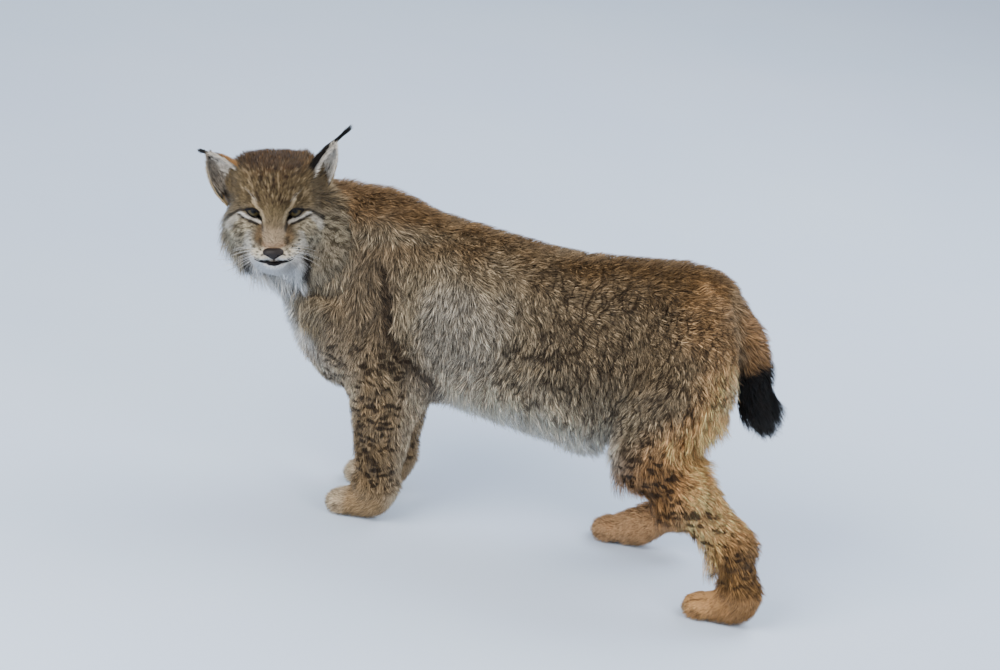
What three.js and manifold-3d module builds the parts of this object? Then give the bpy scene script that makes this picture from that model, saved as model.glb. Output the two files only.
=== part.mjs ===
// A Eurasian lynx in its winter coat, life size and still, standing with its left hind leg
// stretched back and its head turned to look over its left side.
// Millimetres, +Z up. The head end is -X and the animal's left side is -Y.
// Soft shapes are distance fields: each is negative inside, and neighbours run into each other smoothly.
// A field becomes a mesh on a grid, is thinned to the triangles that its shape needs,
// and is parted into the animal's pieces with thin cuts.

import * as THREE from "three";
import { mergeVertices } from "three/addons/utils/BufferGeometryUtils.js";
import Module from "manifold-3d";

const wasm = await Module();
wasm.setup();

// Driving sizes

const WITHERS_HEIGHT = 559; // floor to the coat over the shoulders
const BELLY_HEIGHT = 224; // floor to the coat under the chest
const TRUNK_HALF_WIDTH = 119;
const FORE_TRACK = 76; // from the midline to a forefoot
const FEET = {
  left_fore: { x: -162, y: -FORE_TRACK, reach: 64 },
  right_fore: { x: -170, y: FORE_TRACK, reach: 64 },
  left_hind: { x: 516, y: -145, reach: 76 },
  right_hind: { x: 308, y: 92, reach: 82 },
};
const HEAD_AT = [-409, -99, 536]; // the middle of the skull
const HEAD_TURN = 103.4; // degrees from straight ahead to the animal's left
const HEAD_TILT = 9.4; // degrees, with the left ear up
const EYE = [35.5, 49, 8]; // in the head's own space
const EYE_RADIUS = 13;

// Sizes of the making

const JOIN_GAP = 0.3; // kept between two pieces that touch
const LOCK_GAP = 0.5; // kept between a lock of hair and another piece
const TINY_AREA = 2e-3; // a face below this has no direction worth keeping
const SLIVER = 0.06; // the shortest edge that a cut may leave
const GRID = { body: 9, head: 3.4, paw: 4.2, tail: 7, nose: 1.15 };
const TRIANGLES = { body: 3300, head: 2900, paw: 330, tail: 400, nose: 320 };
const LEG_BLEND = 44; // how far a leg and the trunk run into each other
const NECK_BLEND = 34; // and the head and the neck

// Fields: a field takes a place and gives its distance from a surface

const { clamp, lerp, degToRad, seededRandom } = THREE.MathUtils;

function smoothMin(a, b, reach) {
  const share = Math.max(reach - Math.abs(a - b), 0) / reach;
  return Math.min(a, b) - (share * share * reach) / 4;
}

function blend(reach, ...fields) {
  return (x, y, z) => {
    let nearest = Infinity;
    for (const field of fields) nearest = smoothMin(nearest, field(x, y, z), reach);
    return nearest;
  };
}

function carve(reach, field, ...hollows) {
  return (x, y, z) => {
    let left = field(x, y, z);
    for (const hollow of hollows) left = -smoothMin(-left, hollow(x, y, z), reach);
    return left;
  };
}

function oval([cx, cy, cz], [rx, ry, rz]) {
  return (x, y, z) => {
    const [u, v, w] = [(x - cx) / rx, (y - cy) / ry, (z - cz) / rz];
    const reach = Math.hypot(u, v, w);
    const slope = Math.hypot(u / rx, v / ry, w / rz);
    return slope < 1e-9 ? -Math.min(rx, ry, rz) : (reach * (reach - 1)) / slope;
  };
}

// A rod from one ball to another, with its radius changing evenly between them.
function rod([ax, ay, az, from], [bx, by, bz, to]) {
  const [dx, dy, dz] = [bx - ax, by - ay, bz - az];
  const length2 = dx * dx + dy * dy + dz * dz;
  return (x, y, z) => {
    const share = clamp(((x - ax) * dx + (y - ay) * dy + (z - az) * dz) / length2, 0, 1);
    const off = Math.hypot(x - ax - dx * share, y - ay - dy * share, z - az - dz * share);
    return off - lerp(from, to, share);
  };
}

function chain(reach, ...balls) {
  return blend(reach, ...balls.slice(1).map((ball, i) => rod(balls[i], ball)));
}

// The same shape on both sides of the head: a place on the left is read on the right.
const bothSides = (field) => (x, y, z) => field(Math.abs(x), y, z);

// A value that runs smoothly through the stations' values.
function through(stations, key, at) {
  const last = stations.length - 1;
  const place = clamp(at, stations[0].x, stations[last].x);
  let i = 0;
  while (i < last - 1 && place > stations[i + 1].x) i += 1;
  const slope = (j) => {
    const [before, after] = [stations[Math.max(j - 1, 0)], stations[Math.min(j + 1, last)]];
    return (after[key] - before[key]) / (after.x - before.x);
  };
  const [a, b] = [stations[i], stations[i + 1]];
  const width = b.x - a.x;
  const t = (place - a.x) / width;
  const [t2, t3] = [t * t, t * t * t];
  return (
    (2 * t3 - 3 * t2 + 1) * a[key] +
    (t3 - 2 * t2 + t) * width * slope(i) +
    (3 * t2 - 2 * t3) * b[key] +
    (t3 - t2) * width * slope(i + 1)
  );
}

// The trunk: oval slices whose top line, belly line and half width are given at a few stations.

const TRUNK = [
  { x: -320, top: 540, belly: 262, half: 80 },
  { x: -225, top: WITHERS_HEIGHT, belly: 216, half: 106 },
  { x: -118, top: 548, belly: BELLY_HEIGHT, half: 116 },
  { x: -13, top: 542, belly: BELLY_HEIGHT, half: TRUNK_HALF_WIDTH },
  { x: 100, top: 538, belly: 212, half: 117 },
  { x: 190, top: 549, belly: 204, half: 109 },
  { x: 285, top: 559, belly: 262, half: 102 },
  { x: 370, top: 532, belly: 330, half: 80 },
];
const SQUARENESS = 2.25; // of a slice: 2 is an ellipse, and more is fuller at the shoulders

function trunk(x, y, z) {
  const top = through(TRUNK, "top", x);
  const belly = through(TRUNK, "belly", x);
  const half = through(TRUNK, "half", x);
  const height = (top - belly) / 2;
  const across = Math.abs(y) / half;
  const up = Math.abs(z - (top + belly) / 2) / height;
  const outward = (across ** SQUARENESS + up ** SQUARENESS) ** (1 / SQUARENESS) - 1;
  const round = outward * Math.min(half, height);
  const past = Math.max(TRUNK[0].x - x, x - TRUNK.at(-1).x, 0);
  return past > 0 ? Math.hypot(Math.max(round, 0), past) : round;
}

// The same field in a space that is squeezed across the animal, so that a round form becomes a narrow one.
const narrowed = (field, by, middle) => (x, y, z) => field(x, middle + (y - middle) * by, z);

const breast = oval([-285, -4, 332], [84, 88, 122]);
const rump = oval([338, 0, 442], [88, 96, 114]);
const neck = narrowed(
  chain(40, [-262, -4, 452, 114], [-330, -28, 466, 104], [-388, -66, 494, 84]),
  1.2,
  -20,
);

// Legs: each is a list of balls from the shoulder or hip to the ankle, as x, y, z and radius.

function foreLeg(side, back) {
  const y = side * FORE_TRACK;
  const shoulder = oval([-240 + back, side * 66, 398], [66, 44, 118]);
  const limb = chain(
    26,
    [-262 + back, side * 66, 370, 56],
    [-176 + back, y, 285, 66],
    [-166 + back, y, 205, 56],
    [-163 + back, y, 140, 44],
    [-158 + back, y, 66, 38],
    [-160 + back, y, 36, 34],
  );
  return blend(30, shoulder, limb);
}

const hindLeft = blend(
  28,
  oval([350, -88, 398], [88, 56, 124]),
  chain(
    26,
    [345, -98, 370, 78],
    [316, -118, 262, 66],
    [391, -132, 206, 52],
    [489, -141, 142, 37],
    [517, -145, 60, 35],
    [518, -145, 36, 33],
  ),
  rod([489, -141, 140, 33], [505, -142, 146, 16]),
);

const hindRight = blend(
  28,
  oval([338, 84, 392], [88, 54, 120]),
  chain(
    22,
    [335, 88, 360, 76],
    [256, 98, 262, 60],
    [304, 98, 176, 48],
    [358, 96, 84, 34],
    [306, 93, 48, 30],
    [282, 92, 38, 30],
  ),
  rod([358, 96, 84, 31], [372, 97, 70, 18]),
);

// A paw that points to -X: the pad and its four toes, a little sunk, to be cut flat at the floor.
function paw({ x, y, reach }) {
  const toes = [-1.5, -0.5, 0.5, 1.5].map((place) =>
    oval([x - reach + Math.abs(place) * 7, y + place * 18, 18], [25, 12.5, 21]),
  );
  const pad = oval([x - reach * 0.42, y, 24], [reach * 0.62, 35, 29]);
  return blend(6, pad, ...toes);
}

const LEGS = {
  left_fore: foreLeg(-1, 0),
  right_fore: foreLeg(1, -8),
  left_hind: hindLeft,
  right_hind: hindRight,
};

// The head, in its own space: x to the animal's right, y forward and z up from the middle of the skull

const HEAD_REACH = 290; // beyond this the head has no part in the body's shape

const headFrame = (() => {
  const turn = degToRad(HEAD_TURN);
  const forward = new THREE.Vector3(-Math.cos(turn), -Math.sin(turn), 0);
  const up = new THREE.Vector3(0, 0, 1).applyAxisAngle(forward, degToRad(HEAD_TILT));
  return new THREE.Matrix4().makeBasis(forward.clone().cross(up), forward, up).setPosition(...HEAD_AT);
})();
const headFrameBack = headFrame.clone().invert();

const ruff = bothSides(blend(22, oval([50, -14, -52], [39, 37, 54]), oval([41, -6, -84], [25, 26, 36])));
const skull = blend(
  18,
  oval([0, -14, 22], [82, 79, 68]),
  bothSides(oval([24, -14, 38], [54, 58, 50])),
  bothSides(oval([42, 14, -24], [45, 48, 46])),
  bothSides(oval([64, -8, 37], [19, 18, 22])),
  oval([0, 22, 26], [56, 42, 46]),
  oval([0, 62, -46], [42, 47, 31]),
  rod([0, 48, 14, 21], [0, 100, -29, 15]),
);
const face = blend(
  7,
  skull,
  bothSides(rod([16, 56, 26, 7], [52, 38, 27, 8])),
  bothSides(oval([18.5, 93, -53], [25, 25, 16.5])),
  oval([0, 87, -72], [25, 27, 13]),
  bothSides(rod([0, 105, -71, 5], [30, 95, -68, 4.5])),
  bothSides(oval([EYE[0] - 1, EYE[1] - 1, EYE[2] - 1], [18.5, 17, 15])),
);
const head = blend(28, face, ruff, oval([0, 34, -70], [40, 44, 38]));

function headInPlace(x, y, z) {
  const m = headFrameBack.elements;
  const right = m[0] * x + m[4] * y + m[8] * z + m[12];
  const forward = m[1] * x + m[5] * y + m[9] * z + m[13];
  const up = m[2] * x + m[6] * y + m[10] * z + m[14];
  return Math.hypot(right, forward, up) > HEAD_REACH ? Infinity : head(right, forward, up);
}

const core = blend(46, trunk, breast, rump, neck);

// The legs each run into the trunk, and the head into the neck, but no leg runs into another one.
function body(x, y, z) {
  const own = core(x, y, z);
  const withLegs = Object.values(LEGS).map((leg) => smoothMin(own, leg(x, y, z), LEG_BLEND));
  return Math.min(smoothMin(own, headInPlace(x, y, z), NECK_BLEND), ...withLegs);
}

function headWithNeck(right, forward, up) {
  const m = headFrame.elements;
  const x = m[0] * right + m[4] * forward + m[8] * up + m[12];
  const y = m[1] * right + m[5] * forward + m[9] * up + m[13];
  const z = m[2] * right + m[6] * forward + m[10] * up + m[14];
  return smoothMin(core(x, y, z), head(right, forward, up), NECK_BLEND);
}

const tail = chain(
  20,
  [388, 0, 498, 42],
  [423, 4, 462, 41],
  [444, 6, 404, 38],
  [461, 5, 354, 34],
  [468, 3, 338, 28],
);

// Meshes from fields

// A surface net: one point in each grid cell that the surface crosses, joined across the crossed edges.
// What would run out of the grid ends flat, a little inside it.
function surfaceNet(shape, low, high, cell) {
  const wall = cell * 1.5;
  const field = (...at) => {
    const outside = at.map((v, i) => Math.max(low[i] - v, v - high[i]) + wall);
    return Math.max(shape(...at), ...outside);
  };
  const count = low.map((from, i) => Math.ceil((high[i] - from) / cell) + 1);
  const step = [1, count[0], count[0] * count[1]];
  const values = new Float32Array(count[0] * count[1] * count[2]);
  const placeOf = (i, j, k) => [low[0] + i * cell, low[1] + j * cell, low[2] + k * cell];
  for (let k = 0, n = 0; k < count[2]; k++)
    for (let j = 0; j < count[1]; j++)
      for (let i = 0; i < count[0]; i++, n++) values[n] = field(...placeOf(i, j, k));
  const corners = [0, 1, 2, 3, 4, 5, 6, 7].map((c) => [c & 1, (c >> 1) & 1, c >> 2]);
  const edges = [];
  for (let a = 0; a < 8; a++) for (const bit of [1, 2, 4]) if (!(a & bit)) edges.push([a, a | bit]);
  const points = [];
  const faces = [];
  const pointIn = new Int32Array(values.length).fill(-1);
  for (let k = 0; k < count[2] - 1; k++)
    for (let j = 0; j < count[1] - 1; j++)
      for (let i = 0; i < count[0] - 1; i++) {
        const n = i + j * step[1] + k * step[2];
        const sum = [0, 0, 0];
        let crossed = 0;
        for (const [a, b] of edges) {
          const [from, to] = [corners[a], corners[b]];
          const va = values[n + from[0] + from[1] * step[1] + from[2] * step[2]];
          const vb = values[n + to[0] + to[1] * step[1] + to[2] * step[2]];
          if (va < 0 === vb < 0) continue;
          const share = va / (va - vb);
          for (let c = 0; c < 3; c++) sum[c] += lerp(from[c], to[c], share);
          crossed += 1;
        }
        if (!crossed) continue;
        pointIn[n] = points.length;
        const base = placeOf(i, j, k);
        points.push(new THREE.Vector3(...base.map((from, c) => from + (sum[c] / crossed) * cell)));
      }
  for (let k = 1; k < count[2] - 1; k++)
    for (let j = 1; j < count[1] - 1; j++)
      for (let i = 1; i < count[0] - 1; i++) {
        const n = i + j * step[1] + k * step[2];
        for (let axis = 0; axis < 3; axis++) {
          const [inside, beyond] = [values[n] < 0, values[n + step[axis]] < 0];
          if (inside === beyond) continue;
          const [u, v] = [step[(axis + 1) % 3], step[(axis + 2) % 3]];
          const [a, b, c, d] = [n, n - u, n - u - v, n - v].map((cellAt) => pointIn[cellAt]);
          if (inside) faces.push([a, b, c], [a, c, d]);
          else faces.push([a, c, b], [a, d, c]);
        }
      }
  return settle({ points, faces }, field, cell);
}

// Moves each point onto the surface, and evens out the net between two such moves.
function settle(net, field, cell) {
  const around = net.points.map(() => new Set());
  for (const [a, b, c] of net.faces) {
    around[a].add(b).add(c);
    around[b].add(a).add(c);
    around[c].add(a).add(b);
  }
  const tiny = cell * 0.05;
  const ontoSurface = (p) => {
    const value = field(p.x, p.y, p.z);
    const slope = new THREE.Vector3(
      field(p.x + tiny, p.y, p.z) - field(p.x - tiny, p.y, p.z),
      field(p.x, p.y + tiny, p.z) - field(p.x, p.y - tiny, p.z),
      field(p.x, p.y, p.z + tiny) - field(p.x, p.y, p.z - tiny),
    ).divideScalar(2 * tiny);
    const move = clamp(-value / Math.max(slope.lengthSq(), 0.2), -cell / 2, cell / 2);
    p.addScaledVector(slope, move);
  };
  for (let round = 0; round < 3; round++) {
    const even = net.points.map((p, i) => {
      const middle = new THREE.Vector3();
      for (const j of around[i]) middle.add(net.points[j]);
      return middle.divideScalar(around[i].size).lerp(p, 0.5);
    });
    net.points = even;
    net.points.forEach(ontoSurface);
  }
  return net;
}

// Thinning

// The smallest first: a heap of things that have a cost.
class CheapestFirst {
  things = [];

  put(thing) {
    const { things } = this;
    let at = things.length;
    things.push(thing);
    while (at > 0) {
      const above = (at - 1) >> 1;
      if (things[above].cost <= thing.cost) break;
      things[at] = things[above];
      at = above;
    }
    things[at] = thing;
  }

  take() {
    const { things } = this;
    const first = things[0];
    const moved = things.pop();
    if (!things.length) return first;
    let at = 0;
    for (;;) {
      let below = 2 * at + 1;
      if (below >= things.length) break;
      if (below + 1 < things.length && things[below + 1].cost < things[below].cost) below += 1;
      if (things[below].cost >= moved.cost) break;
      things[at] = things[below];
      at = below;
    }
    things[at] = moved;
    return first;
  }
}

const faceNormal = (a, b, c) => b.clone().sub(a).cross(c.clone().sub(a));

// Closes edges, the cheapest first, until the offers run out or are too dear or enough faces are gone.
// An offer says what closing an edge costs and where its two points then meet.
// An edge stays where closing it would fold the surface over or pinch it.
const MOST_NEIGHBOURS = 24;
const GONE = -1e9;

function closeEdges({ points, faces }, { offerFor, merge = () => {}, dearest = Infinity, wanted = 0 }) {
  const facesOf = points.map(() => []);
  const version = new Int32Array(points.length);
  const alive = new Uint8Array(faces.length).fill(1);
  let left = faces.length;
  faces.forEach((face, f) => face.forEach((i) => facesOf[i].push(f)));

  const queue = new CheapestFirst();
  const offer = (a, b) => queue.put({ ...offerFor(a, b), a, b, seen: version[a] + version[b] });
  const neighbours = (i) => {
    const found = new Set();
    for (const f of facesOf[i]) for (const j of faces[f]) if (j !== i) found.add(j);
    return found;
  };
  const turnsOver = (i, other, spot) =>
    facesOf[i].some((f) => {
      if (faces[f].includes(other)) return false;
      const before = faceNormal(...faces[f].map((j) => points[j]));
      const after = faceNormal(...faces[f].map((j) => (j === i ? spot : points[j])));
      if (before.length() < TINY_AREA) return false;
      return after.length() < TINY_AREA / 4 || after.dot(before) < 0.25 * after.length() * before.length();
    });

  points.forEach((p, i) => neighbours(i).forEach((j) => j > i && offer(i, j)));
  while (left > wanted && queue.things.length) {
    const { a, b, cost, spot, seen } = queue.take();
    if (cost > dearest) break;
    if (seen !== version[a] + version[b] || !facesOf[a].length || !facesOf[b].length) continue;
    const [nearA, nearB] = [neighbours(a), neighbours(b)];
    if (!nearA.has(b)) continue;
    const shared = [...nearA].filter((j) => nearB.has(j));
    if (shared.length !== 2 || nearA.size + nearB.size > MOST_NEIGHBOURS) continue;
    if (turnsOver(a, b, spot) || turnsOver(b, a, spot)) continue;
    for (const f of facesOf[b]) {
      if (faces[f].includes(a)) {
        alive[f] = 0;
        left -= 1;
        for (const j of faces[f]) if (j !== b) facesOf[j].splice(facesOf[j].indexOf(f), 1);
      } else {
        faces[f] = faces[f].map((j) => (j === b ? a : j));
        facesOf[a].push(f);
      }
    }
    facesOf[b] = [];
    points[a] = spot;
    merge(a, b);
    version[a] += version[b] + 1;
    version[b] = GONE;
    for (const j of neighbours(a)) offer(a, j);
  }

  const kept = faces.filter((face, f) => alive[f]);
  const renumbered = new Map();
  for (const i of kept.flat()) if (!renumbered.has(i)) renumbered.set(i, renumbered.size);
  return {
    points: [...renumbered.keys()].map((i) => points[i]),
    faces: kept.map((face) => face.map((i) => renumbered.get(i))),
  };
}

// Keeps the wanted number of triangles, closing those edges first that change the shape least.
// A quadric holds a point's squared distance from the planes of the faces that have met in it.
function thin({ points, faces }, wanted) {
  const quadrics = points.map(() => new Float64Array(10));
  for (const face of faces) {
    const [a, b, c] = face.map((i) => points[i]);
    const normal = faceNormal(a, b, c);
    const area = normal.length();
    if (area < 1e-12) continue;
    const { x, y, z } = normal.divideScalar(area);
    const d = -normal.dot(a);
    const terms = [x * x, x * y, x * z, x * d, y * y, y * z, y * d, z * z, z * d, d * d];
    for (const i of face) terms.forEach((term, t) => (quadrics[i][t] += term * area));
  }
  const errorAt = (q, { x, y, z }) =>
    q[0] * x * x + 2 * q[1] * x * y + 2 * q[2] * x * z + 2 * q[3] * x + q[4] * y * y +
    2 * q[5] * y * z + 2 * q[6] * y + q[7] * z * z + 2 * q[8] * z + q[9];
  const offerFor = (a, b) => {
    const q = quadrics[a].map((term, t) => term + quadrics[b][t]);
    const middle = points[a].clone().add(points[b]).divideScalar(2);
    const weight = q[0] + q[4] + q[7];
    const hold = 1e-3 * weight + 1e-9;
    const solve = new THREE.Matrix3().set(
      q[0] + hold, q[1], q[2],
      q[1], q[4] + hold, q[5],
      q[2], q[5], q[7] + hold,
    ).invert();
    const pull = new THREE.Vector3(q[3], q[6], q[8]);
    const best = middle.clone().multiplyScalar(hold).sub(pull).applyMatrix3(solve);
    const apart = points[a].distanceToSquared(points[b]);
    const spot = best.distanceToSquared(middle) < apart ? best : middle;
    return { cost: Math.max(errorAt(q, spot), 0) + 1e-4 * apart * weight, spot };
  };
  const merge = (a, b) => quadrics[b].forEach((term, t) => (quadrics[a][t] += term));
  return closeEdges({ points, faces }, { offerFor, merge, wanted });
}

// Solids

function solidOf({ points, faces }) {
  return new wasm.Manifold(
    new wasm.Mesh({
      numProp: 3,
      vertProperties: Float32Array.from(points.flatMap((p) => [p.x, p.y, p.z])),
      triVerts: Uint32Array.from(faces.flat()),
    }),
  );
}

function solidFromGeometry(geometry, placed = new THREE.Matrix4()) {
  const plain = geometry.clone().applyMatrix4(placed);
  plain.deleteAttribute("normal");
  plain.deleteAttribute("uv");
  const merged = mergeVertices(plain, 1e-3);
  return new wasm.Manifold(
    new wasm.Mesh({
      numProp: 3,
      vertProperties: merged.attributes.position.array,
      triVerts: Uint32Array.from(merged.index.array),
    }),
  );
}

function geometryOf(solid) {
  const mesh = solid.getMesh();
  return new THREE.BufferGeometry()
    .setAttribute("position", new THREE.BufferAttribute(mesh.vertProperties, 3))
    .setIndex(new THREE.BufferAttribute(mesh.triVerts, 1));
}

// The same solid without the very short edges that cuts and joins leave.
function withoutSlivers(solid) {
  const { vertProperties, triVerts } = solid.getMesh();
  const points = Array.from({ length: vertProperties.length / 3 }, (_, i) =>
    new THREE.Vector3().fromArray(vertProperties, 3 * i),
  );
  const faces = Array.from({ length: triVerts.length / 3 }, (_, i) => [
    ...triVerts.subarray(3 * i, 3 * i + 3),
  ]);
  const offerFor = (a, b) => ({
    cost: points[a].distanceTo(points[b]),
    spot: points[a].clone().lerp(points[b], 0.5),
  });
  return solidOf(closeEdges({ points, faces }, { offerFor, dearest: SLIVER }));
}

const largest = (solid) => solid.decompose().reduce((a, b) => (b.volume() > a.volume() ? b : a));

// The solid and a little more all round it, for keeping another piece clear of it.
function grown(solid, by) {
  const moves = [[by, 0, 0], [-by, 0, 0], [0, by, 0], [0, -by, 0], [0, 0, by], [0, 0, -by]];
  return wasm.Manifold.union(moves.map((move) => solid.translate(move)));
}

const clearOf = (solid, other) => largest(solid.subtract(grown(other, LOCK_GAP)));

// Closed forms made of rings of points, each ring joined to the next and both ends closed by strips.
function loft(rings) {
  const count = rings[0].length;
  const faces = [];
  for (let r = 0; r + 1 < rings.length; r++)
    for (let i = 0; i < count; i++) {
      const [a, b] = [r * count + i, r * count + ((i + 1) % count)];
      faces.push([a, b, b + count], [a, b + count, a + count]);
    }
  for (let i = 0; i + 1 < count - 1 - i; i++) {
    const [low, high] = [0, (rings.length - 1) * count];
    const quad = [i, i + 1, count - 2 - i, count - 1 - i];
    const sides = quad[1] === quad[2] ? [[0, 2, 3]] : [[0, 1, 2], [0, 2, 3]];
    for (const [p, q, r] of sides) {
      faces.push([low + quad[r], low + quad[q], low + quad[p]]);
      faces.push([high + quad[p], high + quad[q], high + quad[r]]);
    }
  }
  const points = rings.flat();
  const made = solidOf({ points, faces });
  return made.volume() > 0 ? made : solidOf({ points, faces: faces.map((face) => face.toReversed()) });
}

const BIG = 2000;
const everywhere = solidFromGeometry(new THREE.BoxGeometry(BIG, BIG, BIG));

// Space on the far side of each of the planes, which are given by a place and a normal.
function space(planes, grow = 0) {
  return planes.reduce((left, [place, normal]) => {
    const unit = new THREE.Vector3(...normal).normalize();
    return left.trimByPlane(unit.toArray(), unit.dot(new THREE.Vector3(...place)) - grow);
  }, everywhere);
}

const SPACES = {
  head: [
    [[-300, -85, 475], [-0.4, -0.89, 0.21]],
    [[0, 0, 398], [0, 0, 1]],
  ],
  neck: [[[-268, 0, 500], [-0.86, 0, 0.51]]],
  foreleg_left: [[[0, 0, 200], [0, 0, -1]], [[60, 0, 0], [-1, 0, 0]], [[0, 0, 0], [0, -1, 0]]],
  foreleg_right: [[[0, 0, 200], [0, 0, -1]], [[60, 0, 0], [-1, 0, 0]], [[0, 0, 0], [0, 1, 0]]],
  hindleg_left: [[[335, 0, 330], [0.68, 0, -0.74]], [[60, 0, 0], [1, 0, 0]], [[0, -26, 0], [0, -1, 0]]],
  hindleg_right: [[[335, 0, 330], [0.68, 0, -0.74]], [[60, 0, 0], [1, 0, 0]], [[0, 26, 0], [0, 1, 0]]],
};
const ANKLES = {
  left_fore: [[[0, 0, 70], [0, 0, -1]]],
  right_fore: [[[0, 0, 70], [0, 0, -1]]],
  left_hind: [[[0, 0, 74], [0, 0, -1]]],
  right_hind: [[[306, 0, 96], [-0.88, 0, -0.47]], [[0, 0, 104], [0, 0, -1]]],
};
const LEG_OF = {
  left_fore: "foreleg_left",
  right_fore: "foreleg_right",
  left_hind: "hindleg_left",
  right_hind: "hindleg_right",
};

const halfGap = JOIN_GAP / 2;
const bodyNet = surfaceNet(body, [-520, -230, -24], [640, 230, 640], GRID.body);
const bodySolid = solidOf(thin(bodyNet, TRIANGLES.body));

let torso = bodySolid;
for (const planes of Object.values(SPACES)) torso = torso.subtract(space(planes, halfGap));
torso = largest(torso);

const nodes = {};
for (const [name, planes] of Object.entries(SPACES))
  if (name !== "head") nodes[name] = largest(bodySolid.intersect(space(planes, -halfGap)));
nodes.neck = largest(nodes.neck.subtract(space(SPACES.head, halfGap)));

for (const [name, foot] of Object.entries(FEET)) {
  const low = [foot.x - foot.reach - 42, foot.y - 62, -14];
  const high = [foot.x + 64, foot.y + 62, 120];
  const net = surfaceNet(blend(14, LEGS[name], paw(foot)), low, high, GRID.paw);
  const flat = solidOf(thin(net, TRIANGLES.paw)).trimByPlane([0, 0, 1], 0);
  nodes[`paw_${name}`] = largest(flat.intersect(space(ANKLES[name], -halfGap)));
  nodes[LEG_OF[name]] = largest(nodes[LEG_OF[name]].subtract(space(ANKLES[name], halfGap)));
}

const TAIL_CUT = [[458, 0, 398], [0.3, 0, -1]];
const tailNet = surfaceNet(tail, [330, -60, 260], [540, 70, 570], GRID.tail);
const tailSolid = clearOf(solidOf(thin(tailNet, TRIANGLES.tail)), bodySolid);
nodes.tail = largest(tailSolid.subtract(space([TAIL_CUT], halfGap)));
nodes.tail_tip = largest(tailSolid.intersect(space([TAIL_CUT], -halfGap)));

const headNet = surfaceNet(headWithNeck, [-150, -112, -150], [150, 142, 118], GRID.head);
const headLocal = solidOf(thin(headNet, TRIANGLES.head));

// The face, cut in the head's own space

const mirrored = (solid) => solid.mirror([1, 0, 0]);
const both = (solid) => solid.add(mirrored(solid));
const eyeball = (radius) => solidFromGeometry(new THREE.SphereGeometry(radius, 16, 10)).translate(EYE);

// Between the lids: a slanted almond, higher at its outer corner, given as places across and up.
const INNER_CORNER = [18.5, -4];
const OUTER_CORNER = [48.5, 11.5];
const UPPER_LID = [34, 22];
const LOWER_LID = [37.5, -7.5];

const almond = new THREE.Shape()
  .moveTo(...INNER_CORNER)
  .quadraticCurveTo(...LOWER_LID, ...OUTER_CORNER)
  .quadraticCurveTo(...UPPER_LID, ...INNER_CORNER);
const lidGap = solidFromGeometry(
  new THREE.ExtrudeGeometry(almond, { depth: 40, bevelEnabled: false, curveSegments: 7 }),
  new THREE.Matrix4().makeRotationX(Math.PI / 2).setPosition(0, 92, 0),
);

// How far forward the head reaches at a place across and up.
function frontAt(x, z) {
  let y = 140;
  while (head(x, y, z) > 0 && y > 40) y -= 0.5;
  return y;
}

// A groove that follows a line over the face: wide at the surface and narrow at its bottom.
function groove(line, depth, width) {
  const rings = line.map(([x, z], i) => {
    const [before, after] = [line[Math.max(i - 1, 0)], line[Math.min(i + 1, line.length - 1)]];
    const along = Math.hypot(after[0] - before[0], after[1] - before[1]);
    const [ux, uz] = [-(after[1] - before[1]) / along, (after[0] - before[0]) / along];
    const surface = frontAt(x, z);
    const corner = (y, off) => new THREE.Vector3(x + ux * off, y, z + uz * off);
    const inner = surface - depth;
    const outer = surface + 9;
    return [corner(inner, -0.5), corner(outer, -width), corner(outer, width), corner(inner, 0.5)];
  });
  return loft(rings);
}

const HALF_MOUTH = [[9, -66.5], [21, -66], [33, -63], [42, -58.5]];
const MOUTH = [...HALF_MOUTH.map(([x, z]) => [-x, z]).toReversed(), [0, -64.5], ...HALF_MOUTH];
const PHILTRUM = [[0, -50], [0, -57], [0, -65]];

const NOSE_MIDDLE = [0, 113, -43];
const SEAT_SCALE = 1.04; // the nose sits in a hollow that is a little larger than itself

const noseForm = blend(
  4,
  oval([0, 117, -41.5], [15.5, 8.5, 8]),
  bothSides(oval([9.5, 114, -43], [8, 8.5, 8])),
  oval([0, 114, -48], [7, 9, 6]),
);
const nostrils = bothSides(rod([7.5, 129, -47.5, 2.4], [9, 119.5, -44.5, 2.6]));
const noseNet = surfaceNet(carve(1.5, noseForm, nostrils), [-24, 96, -62], [24, 136, -24], GRID.nose);
const nose = solidOf(thin(noseNet, TRIANGLES.nose));
const noseHome = NOSE_MIDDLE.map((v) => -v);
const noseSeat = nose.translate(noseHome).scale(SEAT_SCALE).translate(NOSE_MIDDLE);

const faceCuts = [
  noseSeat,
  both(eyeball(EYE_RADIUS + JOIN_GAP)),
  both(lidGap),
  groove(MOUTH, 5, 3.6),
  groove(PHILTRUM, 3, 2.6),
];
let headSolid = headLocal;
for (const cut of faceCuts) headSolid = headSolid.subtract(cut);

const inPlace = (solid) => solid.transform(headFrame.elements);
nodes.head = largest(inPlace(headSolid).intersect(space(SPACES.head, -halfGap)));
nodes.eye_right = inPlace(eyeball(EYE_RADIUS));
nodes.eye_left = inPlace(mirrored(eyeball(EYE_RADIUS)));
nodes.nose = inPlace(nose);

// Ears: a cup with an open front, on an axis from its base to its tip

const EARS = {
  right: { base: [59, 0, 26], tip: [116, -8, 94], faces: [0.25, 0.95, 0.1], tuft: [137, -34, 89] },
  left: { base: [-68, -2, 34], tip: [-105, -8, 116], faces: [-0.55, 0.82, 0.1], tuft: [-133, -26, 137] },
};
const EAR_STATIONS = [
  { at: 0, half: 26, depth: 23, wall: 6 },
  { at: 0.2, half: 30, depth: 25, wall: 6 },
  { at: 0.42, half: 29, depth: 22, wall: 5.5 },
  { at: 0.6, half: 23, depth: 17, wall: 5 },
  { at: 0.76, half: 16, depth: 12, wall: 4.5 },
  { at: 0.9, half: 9.5, depth: 7.5, wall: 4 },
  { at: 1, half: 4.6, depth: 4.5, wall: 3.5 },
];
const EAR_WRAP = 106; // degrees that the cup reaches round from the middle of its back

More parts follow.
